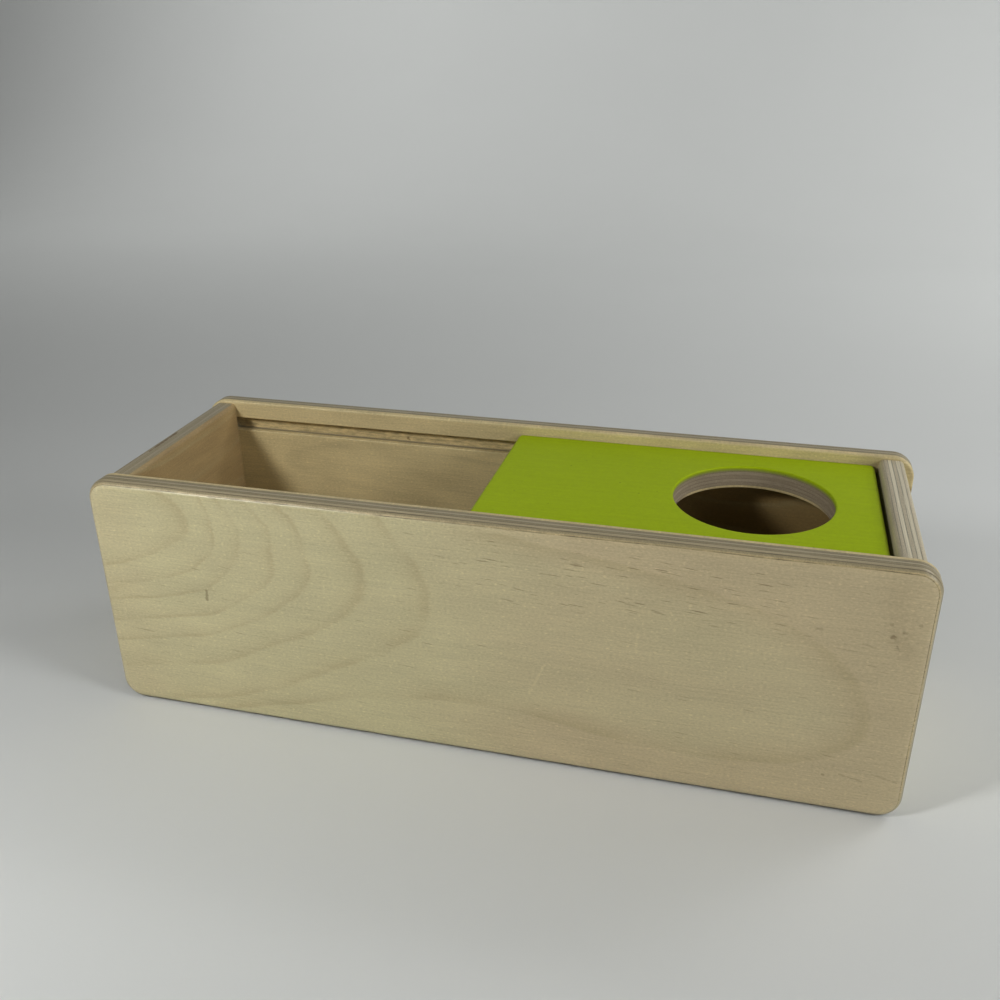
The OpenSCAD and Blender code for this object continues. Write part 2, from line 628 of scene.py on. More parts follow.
@dataclass(frozen=True)
class HeartFigure:
    """Nested rings round the heart of the figure at the left, and one long ring round the right half.

    The nested rings follow reach = x + squeeze * sqrt(gap^2 + soft^2), where x is the distance from the
    left end and gap the height above or below a line that leans down to the right. Left of a corner line
    x counts only in part, so the rings run more level there. The long ring is where u^4 + v^2 = 1, with u
    the share of its reach past its start and v the height above or below its middle line, as a share of
    half its height. It opens to the left.

    Attributes:
        left: left end of the board.
        top: top of the board.
        start: drop of the nested rings' middle line below the top, at the left end.
        lean: fall of that line to the right.
        squeeze: weight of the height against the length.
        soft: roundness of the rings' right ends.
        corner: distance of the corner line from the left end, at the top.
        corner_lean: lean of the corner line to the right.
        level_part: part of x that counts left of the corner line.
        reaches: reach of each ring, with one more before the first ring and one after the last.
        long_start: distance from the left end at which the long ring starts to close.
        long_reach: distance from there to its right end.
        long_drop: drop of its middle line below the top, at its start.
        long_half: half its height.
        long_lean: fall of its middle line to the right.
        long_bend: bend of its middle line left of its start.
        rag: how far fine noise moves a ring.
        wander: how far broad noise moves a ring along the board.
        sway: how far broad noise moves the long ring up and down.
        faintest: darkness of the faintest stretch of a ring.
        gain: darkness that the strongest stretch adds.
        warm_outside: share of the warmer wood outside the long ring.
        warm_right: share that the right half adds.
        warm_left: share that the left end adds.
        warm_cloud: change of the share by soft clouds.
    """

    left: float
    top: float
    start: float = 7.04
    lean: float = 0.198
    squeeze: float = 1.683
    soft: float = 27.0
    corner: float = 40.8
    corner_lean: float = 0.095
    level_part: float = 0.41
    reaches: tuple[float, ...] = (75.9, 86.7, 97.3, 106.7, 120.2, 133.5, 153.0, 179.5, 207.0)
    long_start: float = 160.6
    long_reach: float = 121.2
    long_drop: float = 39.1
    long_half: float = 34.5
    long_lean: float = 0.14
    long_bend: float = 0.0017
    rag: float = 3.2
    wander: float = 10.0
    sway: float = 4.0
    faintest: float = 0.35
    gain: float = 0.8
    warm_outside: float = 0.5
    warm_right: float = 0.6
    warm_left: float = 0.3
    warm_cloud: float = 0.6

    def tone(self, tree: Tree, along: Wire, across: Wire) -> Wire:
        """Darkness of both kinds of ring at a place.

        Args:
            tree: tree that gets the nodes.
            along: place along the grain.
            across: place across the grain.

        Returns:
            The darkness, about from 0 to 1.
        """
        drop = self.top - across
        fine = tree.grain(along, across, length=16.0, width=0.9, detail=1.0) - 0.5
        broad = tree.grain(along, across, length=30.0, width=20.0, layer=3.0, detail=1.5) - 0.5
        patches = tree.grain(along, across, length=26.0, width=13.0, layer=7.0, detail=1.5)
        x = along - self.left + fine * self.rag + broad * self.wander
        rings = self.nested(x, drop).math("MAXIMUM", self.long_ring(x, drop + broad * self.sway))
        return rings * (self.faintest + patches.ramp(0.3, 0.65) * self.gain)

    def warmth(self, tree: Tree, along: Wire, across: Wire) -> Wire:
        """Share of the warmer wood at a place: outside the long ring, to the right and at the left end.

        Args:
            tree: tree that gets the nodes.
            along: place along the grain.
            across: place across the grain.

        Returns:
            The share, about from 0 to 1.
        """
        x = along - self.left
        cloud = tree.grain(along, across, length=50.0, width=20.0, layer=9.0) - 0.5
        drop = self.top - across + cloud * 8.0
        outside = self.long_depth(x, drop).ramp(-9.0, 4.0) * x.ramp(110.0, 200.0)
        right = x.ramp(100.0, 200.0) * self.warm_right
        left = x.ramp(30.0, 5.0) * self.warm_left
        return outside * self.warm_outside + right + left + cloud * self.warm_cloud

    def nested(self, x: Wire, drop: Wire) -> Wire:
        """Darkness of the nested rings, from the first one to the last.

        Args:
            x: distance from the left end.
            drop: distance below the top.

        Returns:
            The darkness, from 0 to 1.
        """
        corner = drop * self.corner_lean + self.corner
        past = x - corner
        bent = corner + past.math("MAXIMUM", 0.0) + past.math("MINIMUM", 0.0) * self.level_part
        gap = drop - self.start - bent * self.lean
        reach = bent + (gap * gap + self.soft ** 2).math("SQRT") * self.squeeze
        phase = sum((reach.share(*step) for step in zip(self.reaches, self.reaches[1:])), -1.0)
        last = len(self.reaches) - 3.0
        return ring_line(phase) * phase.ramp(last + 0.4, last + 0.1) * phase.ramp(-0.6, -0.2)

    def long_depth(self, x: Wire, drop: Wire) -> Wire:
        """Distance outside the long ring.

        Args:
            x: distance from the left end.
            drop: distance below the top.

        Returns:
            The distance, below 0 inside the ring.
        """
        past = (x - self.long_start).math("MAXIMUM", 0.0)
        before = (self.long_start - x).math("MAXIMUM", 0.0)
        middle = self.long_drop + past * self.long_lean + before * before * self.long_bend
        tall = (drop - middle) / self.long_half
        size = ((past / self.long_reach) ** 4.0 + tall * tall).math("SQRT")
        return (size - 1.0) * self.long_half

    def long_ring(self, x: Wire, drop: Wire) -> Wire:
        """Darkness of the long ring, whose upper branch fades out at the left.

        Args:
            x: distance from the left end.
            drop: distance below the top.

        Returns:
            The darkness, from 0 to 1.
        """
        depth = self.long_depth(x, drop)
        open_end = x.ramp(self.long_start, self.long_start - 25.0) * drop.ramp(48.0, 36.0)
        line = depth.ramp(-9.0, 0.0) * SLOW_SHARE + depth.ramp(-3.0, 0.0) * (1.0 - SLOW_SHARE)
        return line * depth.ramp(1.6, 0.2) * (1.0 - open_end)


@dataclass(frozen=True)
class Pores:
    """Short dark dashes in a face veneer, along the grain.

    Attributes:
        seed: shifts the dashes.
        crowded: place along and across the grain with the most dashes, if there is one.
        length: length of a noise lump, about three times a dash's.
        height: height of a noise lump, about three times a dash's.
        tilt: fall of the dashes along the grain.
        share: how strong they are away from the crowds.
        crowd_share: strength that a crowd adds.
        crowd_lift: what a crowd adds to the noise, so that more of it turns into dashes.
    """

    seed: float
    crowded: tuple[float, float] | None = None
    length: float = 10.0
    height: float = 0.7
    tilt: float = 0.09
    share: float = 0.45
    crowd_share: float = 0.55
    crowd_lift: float = 0.06

    def tone(self, tree: Tree, along: Wire, across: Wire) -> Wire:
        """Darkness of the dashes at a place.

        Args:
            tree: tree that gets the nodes.
            along: place along the grain.
            across: place across the grain.

        Returns:
            The darkness, from 0 to 1.
        """
        level = across + along * self.tilt
        dashes = tree.grain(along, level, self.length, self.height, self.seed, detail=1.0)
        crowd = tree.grain(along, across, length=50.0, width=14.0, layer=self.seed + 5.0, detail=1.0)
        crowd = crowd.ramp(0.5, 0.75) * 0.5
        if self.crowded:
            middle, height = self.crowded
            place = abs(along - middle).ramp(80.0, 45.0) * abs(across - height).ramp(16.0, 7.0)
            crowd = crowd.math("MAXIMUM", place)
        strength = crowd * self.crowd_share + self.share
        return (dashes + crowd * self.crowd_lift).ramp(0.69, 0.78) * strength


@dataclass(frozen=True)
class VeneerWeights:
    """How strongly each pattern shows in a face veneer.

    Attributes:
        ring: cover of the rings' colour.
        pore: cover of the pores' stain.
        streak: change of tone by fine streaks along the grain.
        mottle: change of tone by broad patches.
        inner_mottle: what the inner veneer adds to that.
        fuzz: change of tone by short fibres.
        fleck: lighter tone of small flecks.
        rough: least roughness.
        rough_fuzz: roughness that short fibres add.
        rough_pore: roughness that pores add.
        rough_inner: roughness that the inner veneer adds.
        relief_streak: height of the streaks.
        relief_fuzz: height of the short fibres.
        relief_pore: depth of the pores.
    """

    ring: float = 0.46
    pore: float = 0.45
    streak: float = 0.3
    mottle: float = 0.2
    inner_mottle: float = 0.25
    fuzz: float = 0.42
    fleck: float = 0.12
    rough: float = 0.24
    rough_fuzz: float = 0.12
    rough_pore: float = 0.1
    rough_inner: float = 0.2
    relief_streak: float = 0.3
    relief_fuzz: float = 0.2
    relief_pore: float = 0.35


@dataclass(frozen=True)
class CutWeights:
    """How strongly each pattern shows where a board is cut.

    Attributes:
        tone: tone without fibres and patches.
        fibre: tone that the fibres of a ply add.
        patch: tone that broad patches of a ply add.
        speckle: change of tone by the fibres' open ends.
        torn: change of tone by torn fibres on routed flats.
        rough: least roughness.
        rough_end: roughness that end grain adds.
        rough_speckle: roughness that the open ends add.
        relief_fibre: height of the fibres.
        relief_speckle: height of the open ends.
        relief_glue: depth of the glue lines.
    """

    tone: float = 0.68
    fibre: float = 0.55
    patch: float = 0.2
    speckle: float = 0.5
    torn: float = 1.3
    rough: float = 0.26
    rough_end: float = 0.08
    rough_speckle: float = 0.14
    relief_fibre: float = 0.6
    relief_speckle: float = 0.7
    relief_glue: float = 0.35


# Width of a fibre in a cut ply
FIBRE = 0.3
# Half the depth over which a face veneer goes over into the plies
SEAM = 0.05
# Tone of the painted contact shade on the foot edge where it is darkest
FOOT_SHADE_TONE = 0.3


@dataclass(frozen=True)
class Plywood:
    """Clear-lacquered birch plywood as a solid: veneers, crossed plies and glue lines by depth.

    Attributes:
        name: name of the material.
        lay: how the board lies.
        figures: figures of the outer and the inner face veneer.
        seed: shifts every pattern of this board.
        marks: strokes anywhere on the board.
        crowded: place with the most pores, if there is one.
        cut_tone: lightness of the cut edges.
        foot_shade_height: height below which painted contact shade darkens the foot edge, 0 for none.
        veneer: thickness of the outer face's veneer, sanded thin.
        backing: thickness of the inner face's veneer.
        plies: number of inner plies, an odd one.
        wave: how far the plies swing up and down.
        glue: darkness of the glue lines.
        pale: paler wood of the outer veneer.
        warm: warmer wood of the outer veneer.
        inside: wood of the inner veneer.
        ring: colour of the rings.
        stain: colour of the pores and the dark marks.
        side_grain: cut ply, seen along its fibres.
        end_grain: cut ply, seen at its fibres' ends.
        routed: flat that a cutter has left in a groove or a hole.
        under_lid_shade: colour of the painted shade in the inner veneer under the lid.
        under_lid_shade_below: height below which painted shade darkens the inner veneer along the board, 0
            for nowhere.
        under_lid_shade_span: places along the board where the painted shade starts and is full.
        relief_depth: height that a relief of 1 stands for.
        face_weights: strength of the patterns in the veneers.
        cut_weights: strength of the patterns on the cuts.
    """

    name: str
    lay: Lay
    figures: tuple[Figure, Figure]
    seed: float
    marks: tuple[Mark, ...] = ()
    crowded: tuple[float, float] | None = None
    cut_tone: float = 1.0
    foot_shade_height: float = 0.0
    veneer: float = 0.5
    backing: float = 1.3
    plies: int = 5
    wave: float = 0.5
    glue: float = 0.5
    pale: Colour = (0.615, 0.562, 0.352)
    warm: Colour = (0.60, 0.508, 0.326)
    inside: Colour = (0.68, 0.572, 0.33)
    ring: Colour = (0.49, 0.415, 0.24)
    stain: Colour = (0.12, 0.06, 0.012)
    side_grain: Colour = (0.46, 0.40, 0.27)
    end_grain: Colour = (0.345, 0.295, 0.185)
    routed: Colour = (0.62, 0.51, 0.29)
    under_lid_shade: Colour = (0.40, 0.285, 0.125)
    under_lid_shade_below: float = 0.0
    under_lid_shade_span: tuple[float, float] = (15.0, 85.0)
    relief_depth: float = 0.06
    face_weights: VeneerWeights = VeneerWeights()
    cut_weights: CutWeights = CutWeights()

    def material(self) -> bpy.types.Material:
        """Makes the material of a bare board.

        Returns:
            The material.
        """
        tree = Tree(self.name)
        colour, roughness, relief = self.solid(tree)
        return tree.finish(colour, roughness, relief, self.relief_depth, {"IOR": 1.45})

    def solid(self, tree: Tree) -> tuple[Wire, Wire, Wire]:
        """Look of the board at any place and depth.

        Args:
            tree: tree that gets the nodes.

        Returns:
            Colour, roughness and relief.
        """
        place = tree.point()
        parts = tree.split(place)
        faces = [abs(part) for part in tree.split(tree.facing())]
        along = parts[self.lay.along.value]
        across = parts[self.lay.across.value]
        depth = (parts[self.lay.through.value] - self.lay.outer) * float(self.lay.inward)
        bend = tree.grain(along, across, length=45.0, width=45.0, layer=self.seed, detail=1.0) - 0.5
        level = depth + bend * self.wave
        ragged = tree.grain(along, across, length=2.0, width=1.4, layer=self.seed + 6.0)
        face_colour, face_rough, face_relief = self.face(tree, along, across, depth)
        ply_colour, ply_rough, ply_relief = self.cut(tree, place, along, across, level, faces)
        inner_side = self.lay.thick - self.backing
        within = level.ramp(self.veneer - SEAM, self.veneer + SEAM)
        within = within * level.ramp(inner_side + SEAM, inner_side - SEAM)
        cut = within.math("MAXIMUM", faces[self.lay.along.value].ramp(0.75, 0.97))
        rough = face_rough + (ply_rough - face_rough) * cut
        relief = face_relief + (ply_relief - face_relief) * cut
        colour = tree.blend(face_colour, ply_colour, cut)
        if self.marks:
            colour = self.marked(tree, colour, place, ragged)
        # Painted shade: the foot edge darkens towards the floor, as a contact shadow
        if self.foot_shade_height:
            unshaded = (parts[Axis.Z.value] + ragged - 0.5).ramp(0.0, self.foot_shade_height)
            colour = tree.shade(colour, FOOT_SHADE_TONE + unshaded * (1.0 - FOOT_SHADE_TONE))
        return colour, rough, relief

    def marked(self, tree: Tree, colour: Wire, place: Wire, ragged: Wire) -> Wire:
        """Lays the marks on the wood: stains cover it and scratches make it paler.

        Args:
            tree: tree that gets the nodes.
            colour: colour of the wood.
            place: place on the piece.
            ragged: noise about 0.5 that roughens the marks' rims.

        Returns:
            The colour with the marks.
        """
        covers = [mark.cover(tree, place, ragged) for mark in self.marks]
        cover = sum(covers[1:], covers[0])
        stained = tree.blend(colour, rgba(self.stain), cover)
        return tree.shade(stained, 1.0 - cover.math("MINIMUM", 0.0))

    def face(self, tree: Tree, along: Wire, across: Wire, depth: Wire) -> tuple[Wire, Wire, Wire]:
        """Look of the face veneers: rings, pores and fine streaks under clear lacquer.

        Args:
            tree: tree that gets the nodes.
            along: place along the grain.
            across: place across the grain.
            depth: depth below the outer face.

        Returns:
            Colour, roughness and relief.
        """
        weights = self.face_weights
        inner = depth.ramp(self.lay.thick * 0.45, self.lay.thick * 0.55)
        outer_rings, inner_rings = [figure.tone(tree, along, across) for figure in self.figures]
        rings = outer_rings + (inner_rings - outer_rings) * inner
        pores = Pores(self.seed, self.crowded).tone(tree, along, across) * (1.0 - inner)
        streaks = tree.grain(along, across, length=24.0, width=0.6, layer=self.seed, detail=3.0,
                             roughness=0.6)
        mottle = tree.grain(along, across, length=30.0, width=12.0, layer=self.seed + 2.0)
        fuzz = tree.grain(along, across, length=1.1, width=0.6, layer=self.seed + 4.0, roughness=0.6)
        flecks = tree.grain(along, across, length=1.5, width=0.9, layer=self.seed + 3.0, detail=0.0)
        tone = 1.0 + (streaks - 0.5) * weights.streak
        tone = tone + (mottle - 0.5) * (weights.mottle + inner * weights.inner_mottle)
        tone = tone + (fuzz - 0.5) * weights.fuzz + flecks.ramp(0.68, 0.8) * weights.fleck
        ground = tree.blend(rgba(self.pale), rgba(self.warm), self.figures[0].warmth(tree, along, across))
        inside = rgba(self.inside)
        # Painted shade: the inner veneer darkens under the lid, where the box is in shade
        if self.under_lid_shade_below:
            inside = tree.blend(inside, rgba(self.under_lid_shade), self.under_lid_shade_share(along, across))
        ground = tree.blend(ground, inside, inner)
        colour = tree.shade(tree.blend(ground, rgba(self.ring), rings * weights.ring), tone)
        colour = tree.blend(colour, rgba(self.stain), pores * weights.pore)
        rough = weights.rough + fuzz * weights.rough_fuzz + pores * weights.rough_pore
        rough = rough + inner * weights.rough_inner
        relief = 0.5 + (streaks - 0.5) * weights.relief_streak + (fuzz - 0.5) * weights.relief_fuzz
        return colour, rough, relief - pores * weights.relief_pore

    def under_lid_shade_share(self, along: Wire, across: Wire) -> Wire:
        """Share of painted shade in the inner veneer under the lid, which grows along the board below a
        height.
        """
        return along.ramp(*self.under_lid_shade_span) * across.ramp(self.under_lid_shade_below + 2.0, self.under_lid_shade_below)

    def cut(self, tree: Tree, place: Wire, along: Wire, across: Wire, level: Wire,
            faces: list[Wire]) -> tuple[Wire, Wire, Wire]:
        """Look of the plies where the board is cut.

        A ply shows end grain where its fibres meet the surface, and the plies' fibres cross in turn.

        Args:
            tree: tree that gets the nodes.
            place: place on the piece.
            along: place along the face grain.
            across: place across the face grain.
            level: depth below the outer face, with the plies' slight waves.
            faces: how far the surface faces along each axis.

        Returns:
            Colour, roughness and relief.
        """
        weights = self.cut_weights
        ply = (self.lay.thick - self.veneer - self.backing) / self.plies
        count = (level - self.veneer) / ply
        number = count.math("FLOOR")
        part = count - number
        cross = 1.0 - number.math("FLOORED_MODULO", 2.0)
        layer = level / FIBRE + number * 7.3
        long_fibre = tree.grain(along, across, length=22.0, width=0.5, layer=layer)
        cross_fibre = tree.grain(along, across, length=0.5, width=22.0, layer=layer)
        fibre = long_fibre + (cross_fibre - long_fibre) * cross
        long_end = faces[self.lay.along.value]
        end = long_end + (faces[self.lay.across.value] - long_end) * cross
        speckle = tree.noise(tree.scaled(place, 1 / FIBRE), roughness=0.7)
        patch = tree.grain(along, across, length=16.0, width=16.0, layer=number * 5.7 + self.seed)
        gap = (part.math("MINIMUM", 1.0 - part) * ply).ramp(0.25, 0.08)
        glue = gap * patch.ramp(0.3, 0.6)
        tone = weights.tone + fibre * weights.fibre + patch * weights.patch
        tone = tone - (speckle - 0.45) * weights.speckle
        tone = tone * (1.0 - glue * self.glue) * self.cut_tone
        flat = faces[self.lay.through.value].ramp(0.6, 0.9)
        torn = tree.grain(along, across, length=4.5, width=1.1, layer=self.seed + 9.0, roughness=0.6)
        tone = tone + (torn - 0.52) * flat * weights.torn
        colour = tree.blend(rgba(self.side_grain), rgba(self.end_grain), end)
        colour = tree.blend(colour, rgba(self.routed), flat)
        rough = weights.rough + end * weights.rough_end + speckle * weights.rough_speckle
        relief = 0.45 + (fibre - 0.5) * weights.relief_fibre + (speckle - 0.5) * weights.relief_speckle
        return tree.shade(colour, tone), rough, relief - glue * weights.relief_glue


@dataclass(frozen=True)
class GreenLacquer:
    """Satin green lacquer over plywood, with bare plies in the hole.

    Attributes:
        name: name of the material.
        board: the plywood below.
        hole: middle of the hole on X.
        hole_r: radius of the hole.
        top: height of the lid's upper face.
        green: lighter green.
        dark: darker green.
        tone: tone before the patterns are added.
        fine_tone: change of tone by fine grit.
        grain_tone: change of tone by the wood's grain showing through.
        peel_tone: change of tone by the lacquer's orange peel.
        cloud_tone: change of tone by broad clouds.
        speck_tone: darker tone of small specks.
        overspill: depths below the top at which lacquer in the hole starts to thin and ends.
        tint: darkness that the overspilt lacquer gives the wood.
        rough: roughness before the patterns are added.
        rough_fine: change of roughness by fine grit.
        rough_cloud: roughness that broad clouds add.
        relief_peel: height of the orange peel.
        relief_grain: height of the grain.
        relief_speck: depth of the specks.
        relief_depth: height that a relief of 1 stands for.
    """

    name: str
    board: Plywood
    hole: float
    hole_r: float
    top: float
    green: Colour = (0.45, 0.578, 0.0125)
    dark: Colour = (0.427, 0.552, 0.0105)
    tone: float = 0.96
    fine_tone: float = 0.14
    grain_tone: float = 0.12
    peel_tone: float = 0.08
    cloud_tone: float = 0.1
    speck_tone: float = 0.3
    overspill: tuple[float, float] = (0.2, 2.4)
    tint: float = 0.3
    rough: float = 0.38
    rough_fine: float = 0.1
    rough_cloud: float = 0.06
    relief_peel: float = 0.35
    relief_grain: float = 0.25
    relief_speck: float = 0.3
    relief_depth: float = 0.05

    def material(self) -> bpy.types.Material:
        """Lacquer on every face and over the hole's eased rim, and wood where the hole is cut.

        Returns:
            The material.
        """
        tree = Tree(self.name)
        wood, wood_rough, wood_relief = self.board.solid(tree)
        place = tree.split(tree.point())
        fine = tree.lumps(place, (0.8, 0.8, 0.8)) - 0.5
        cloud = tree.lumps(place, (45.0, 30.0, 30.0))
        peel = tree.lumps(place, (2.2, 2.2, 2.2), detail=1.0) - 0.5
        grain = tree.lumps(place, (18.0, 0.9, 0.9)) - 0.5
        specks = tree.lumps(place, (1.6, 1.6, 1.6), detail=0.0, shift=9.0).ramp(0.84, 0.87)
        tone = self.tone + fine * self.fine_tone + grain * self.grain_tone + peel * self.peel_tone
        tone = tone + (cloud - 0.5) * self.cloud_tone - specks * self.speck_tone
        colour = tree.blend(rgba(self.green), rgba(self.dark), cloud.ramp(0.3, 0.75))
        colour = tree.shade(colour, tone)
        rough = self.rough + fine * self.rough_fine + cloud * self.rough_cloud
        relief = 0.5 + peel * self.relief_peel + grain * self.relief_grain - specks * self.relief_speck
        below = self.top - place[Axis.Z.value] + fine * 0.5
        wall = self.wall(place, fine) * below.ramp(*self.overspill)
        tinted = tree.shade(wood, 1.0 - below.ramp(2.6, 1.0) * self.tint)
        colour = tree.blend(colour, tinted, wall)
        rough = rough + (wood_rough - rough) * wall
        relief = relief + (wood_relief - relief) * wall
        return tree.finish(colour, rough, relief, self.relief_depth,
                           {"IOR": 1.5, "Specular IOR Level": 0.08})

    def wall(self, place: list[Wire], fine: Wire) -> Wire:
        """Share of the hole's wall at a place: 1 at the hole's radius, 0 from just outside it on.

        Args:
            place: place on the lid.
            fine: noise about 0 that roughens the wall's rim.

        Returns:
            The share, from 0 to 1.
        """
        x, y, _ = place
        out = ((x - self.hole) * (x - self.hole) + y * y).math("SQRT")
        return (out + fine * 0.3).ramp(self.hole_r + 0.3, self.hole_r + 0.15)


@dataclass(frozen=True)
class Beech:
    """Bare beech with short dark flecks along the dowel.

    Attributes:
        name: name of the material.
        pale: colour of the wood.
        fleck: colour of the flecks.
        fleck_cover: cover of the flecks' colour.
        relief_depth: height that a relief of 1 stands for.
    """

    name: str = "bare_beech"
    pale: Colour = (0.58, 0.40, 0.20)
    fleck: Colour = (0.36, 0.21, 0.09)
    fleck_cover: float = 0.6
    relief_depth: float = 0.06

    def material(self) -> bpy.types.Material:
        """Makes the material of a dowel, whose grain runs along Y.

        Returns:
            The material.
        """
        tree = Tree(self.name)
        place = tree.split(tree.point())
        grain = tree.lumps(place, (0.6, 9.0, 0.6), detail=3.0)
        flecks = tree.lumps(place, (0.35, 1.6, 0.35), detail=1.0).ramp(0.62, 0.72)
        colour = tree.blend(rgba(self.pale), rgba(self.fleck), flecks * self.fleck_cover)
        colour = tree.shade(colour, 0.85 + grain * 0.3)
        relief = grain - flecks * 0.3
        return tree.finish(colour, 0.6 + grain * 0.15, relief, self.relief_depth, {"IOR": 1.45})


@dataclass
class SidePanel:
    """Side panel: a board with rounded corners and edges, grooved inside for the lid and the floor.

    The rim is one profile carried round a rounded rectangle. The inner face is a band round each groove,
    a square round each dowel hole and a plain middle.

    Attributes:
        node: CAD node that the panel stands for.
        corner_r: radius of the corners, seen from the front.
        edge_r: radius of the outer edges.
        inner_edge_r: radius of the inner edges.
        arris: radius of the eased rims of the grooves and holes.
        tongue_thick: thickness of the lid's tongue.
        slide_clear: clearance round the tongue.
        glue_clear: clearance of a glued fit.
        dowel_zone: length of the parts at both ends that hold the dowel holes.
        step: distance of the points along the straight sides.
        edge_steps: points on an outer edge's rounding.
        inner_steps: points on an inner edge's rounding.
        corner_steps: points on a corner.
    """

    node: str
    corner_r: float = 8.5
    edge_r: float = 3.3
    inner_edge_r: float = 0.8
    arris: float = 0.35
    tongue_thick: float = 5.0
    slide_clear: float = 0.3
    glue_clear: float = 0.1
    dowel_zone: float = 18.0
    step: float = 5.0
    edge_steps: int = 11
    inner_steps: int = 6
    corner_steps: int = 13

    def __post_init__(self) -> None:
        """Reads the panel's place from the frame."""
        self.low, self.high = cad_box(self.node)
        self.thick = self.high[1] - self.low[1]
        self.back = self.high[1] > 0
        self.outer = self.high[1] if self.back else self.low[1]
        self.inward = -1 if self.back else 1
        self.inner = abs(self.outer) - self.thick

    def place(self, points: np.ndarray) -> np.ndarray:
        """Turns (x, height, depth below the outer face) into the frame's coordinates."""
        y = self.outer + self.inward * points[..., 2]
        return np.stack([points[..., 0], y, points[..., 1]], axis=-1)

    def from_inside(self, points: np.ndarray) -> np.ndarray:
        """Turns (x, height, depth below the inner face) into the frame's coordinates."""
        return self.place(points * (1, 1, -1) + (0, 0, self.thick))

    def samples(self) -> tuple[np.ndarray, np.ndarray]:
        """Coordinates along and up the panel that all its faces share.

        Returns:
            The rising x coordinates and heights on the core rectangle's sides.
        """
        left, right = self.low[0] + self.corner_r, self.high[0] - self.corner_r
        foot, head = self.low[2] + self.corner_r, self.high[2] - self.corner_r
        x = np.linspace(left, right, round((right - left) / self.step) + 1)
        z = np.linspace(foot, head, round((head - foot) / self.step) + 1)
        zone = [self.low[0] + self.dowel_zone, self.high[0] - self.dowel_zone]
        return np.union1d(x, zone), np.union1d(z, self.bands())

    def bands(self) -> list[float]:
        """Heights that part the floor groove's band, the two rows of dowels and the lid groove's band.

        Returns:
            The three heights, from below upwards.
        """
        floor_top = cad_box("floor_panel")[1][2]
        lower = cad_box("front_left_lower_dowel")
        upper = cad_box("front_left_upper_dowel")
        lid_low = cad_box("sliding_lid")[0][2]
        return [(floor_top + lower[0][2]) / 2, (lower[1][2] + upper[0][2]) / 2, (upper[1][2] + lid_low) / 2]

    def build(self) -> bpy.types.Object:
        """Makes the panel's closed surface.

        Returns:
            The panel.
        """
        shell = Shell()
        x, z = self.samples()
        ring = Ring.around(x, z, self.corner_steps)
        outer, inner = self.corner_r - self.edge_r, self.corner_r - self.inner_edge_r
        along, down = roundover(self.edge_r, self.edge_steps)
        inner_along, inner_down = roundover(self.inner_edge_r, self.inner_steps)
        rho = np.concatenate([[outer - SUPPORT], outer + along,
                              inner + inner_along[::-1], [inner - SUPPORT]])
        depth = np.concatenate([[0.0], down, self.thick - inner_down[::-1], [self.thick]])
        shell.add(self.place(ring.sweep(rho, depth)), closed=True)
        self.outer_face(shell, ring.at(outer - SUPPORT))
        self.inner_face(shell, ring.at(inner - SUPPORT), x, z, inner - SUPPORT)
        return shell.build(self.node + "_board")

    def outer_face(self, shell: Shell, edge: np.ndarray) -> None:
        """Closes the outer face: its edge is joined to the middle line of the panel.

        Args:
            shell: surface that gets the face.
            edge: points round the face.
        """
        middle = (self.low[2] + self.high[2]) / 2
        reach = self.high[0] - middle
        spine = np.column_stack([np.clip(edge[:, 0], -reach, reach), np.full(len(edge), middle)])
        rows = np.stack([edge, (edge + spine) / 2, spine])
        shell.add(self.place(np.concatenate([rows, np.zeros(rows.shape[:2] + (1,))], axis=2)), closed=True)

    def inner_face(self, shell: Shell, edge: np.ndarray, x: np.ndarray, z: np.ndarray, rim: float) -> None:
        """Closes the inner face with its two grooves and four dowel holes.

        Args:
            shell: surface that gets the face.
            edge: points round the face.
            x: shared coordinates along the panel.
            z: shared heights.
            rim: distance of the face's edge from the core rectangle.
        """
        line = np.concatenate([[x[0] - rim], x, [x[-1] + rim]])
        foot, middle, head = self.bands()
        upper = edge[edge[:, 1] >= head - WELD]
        rolled = np.roll(edge, -int(np.argmin(edge[:, 0] - edge[:, 1] * WELD)), axis=0)
        lower = rolled[rolled[:, 1] <= foot + WELD]
        inside = line[1:-1]
        upper = np.concatenate([upper, np.column_stack([inside, np.full(len(inside), head)])])
        lower = np.concatenate([lower, np.column_stack([inside[::-1], np.full(len(inside), foot)])])
        shell.add(self.from_inside(self.lid_groove(upper)), closed=True)
        shell.add(self.from_inside(self.floor_groove(lower)), closed=True)
        zone = self.dowel_zone
        centre = line[(line >= self.low[0] + zone - WELD) & (line <= self.high[0] - zone + WELD)]
        heights = z[(z >= foot - WELD) & (z <= head + WELD)]
        flat = np.stack(np.meshgrid(centre, heights), axis=-1)
        shell.add(self.from_inside(np.concatenate([flat, np.zeros(flat.shape[:2] + (1,))], axis=2)))
        ends = {"left": line[line <= centre[0] + WELD], "right": line[line >= centre[-1] - WELD]}
        for end, columns in ends.items():
            for row, (start, stop) in (("lower", (foot, middle)), ("upper", (middle, head))):
                rows = heights[(heights >= start - WELD) & (heights <= stop + WELD)]
                square = border(np.stack(np.meshgrid(columns, rows), axis=-1))
                shell.add(self.from_inside(self.dowel_hole(square, end, row)), closed=True)

    def lid_groove(self, loop: np.ndarray) -> np.ndarray:
        """Band of the inner face round the groove that the lid's tongue runs in.

        Args:
            loop: points round the band.

        Returns:
            Points of the band and the groove, as pocket gives them.
        """
        low, high = cad_box("sliding_lid")
        half = self.tongue_thick / 2
        depth = high[1] - self.inner + self.slide_clear
        end = cad_box("right_end_panel")[0][0]
        return pocket(loop, (0.0, low[2] + half), end, half + self.slide_clear, depth, self.arris)

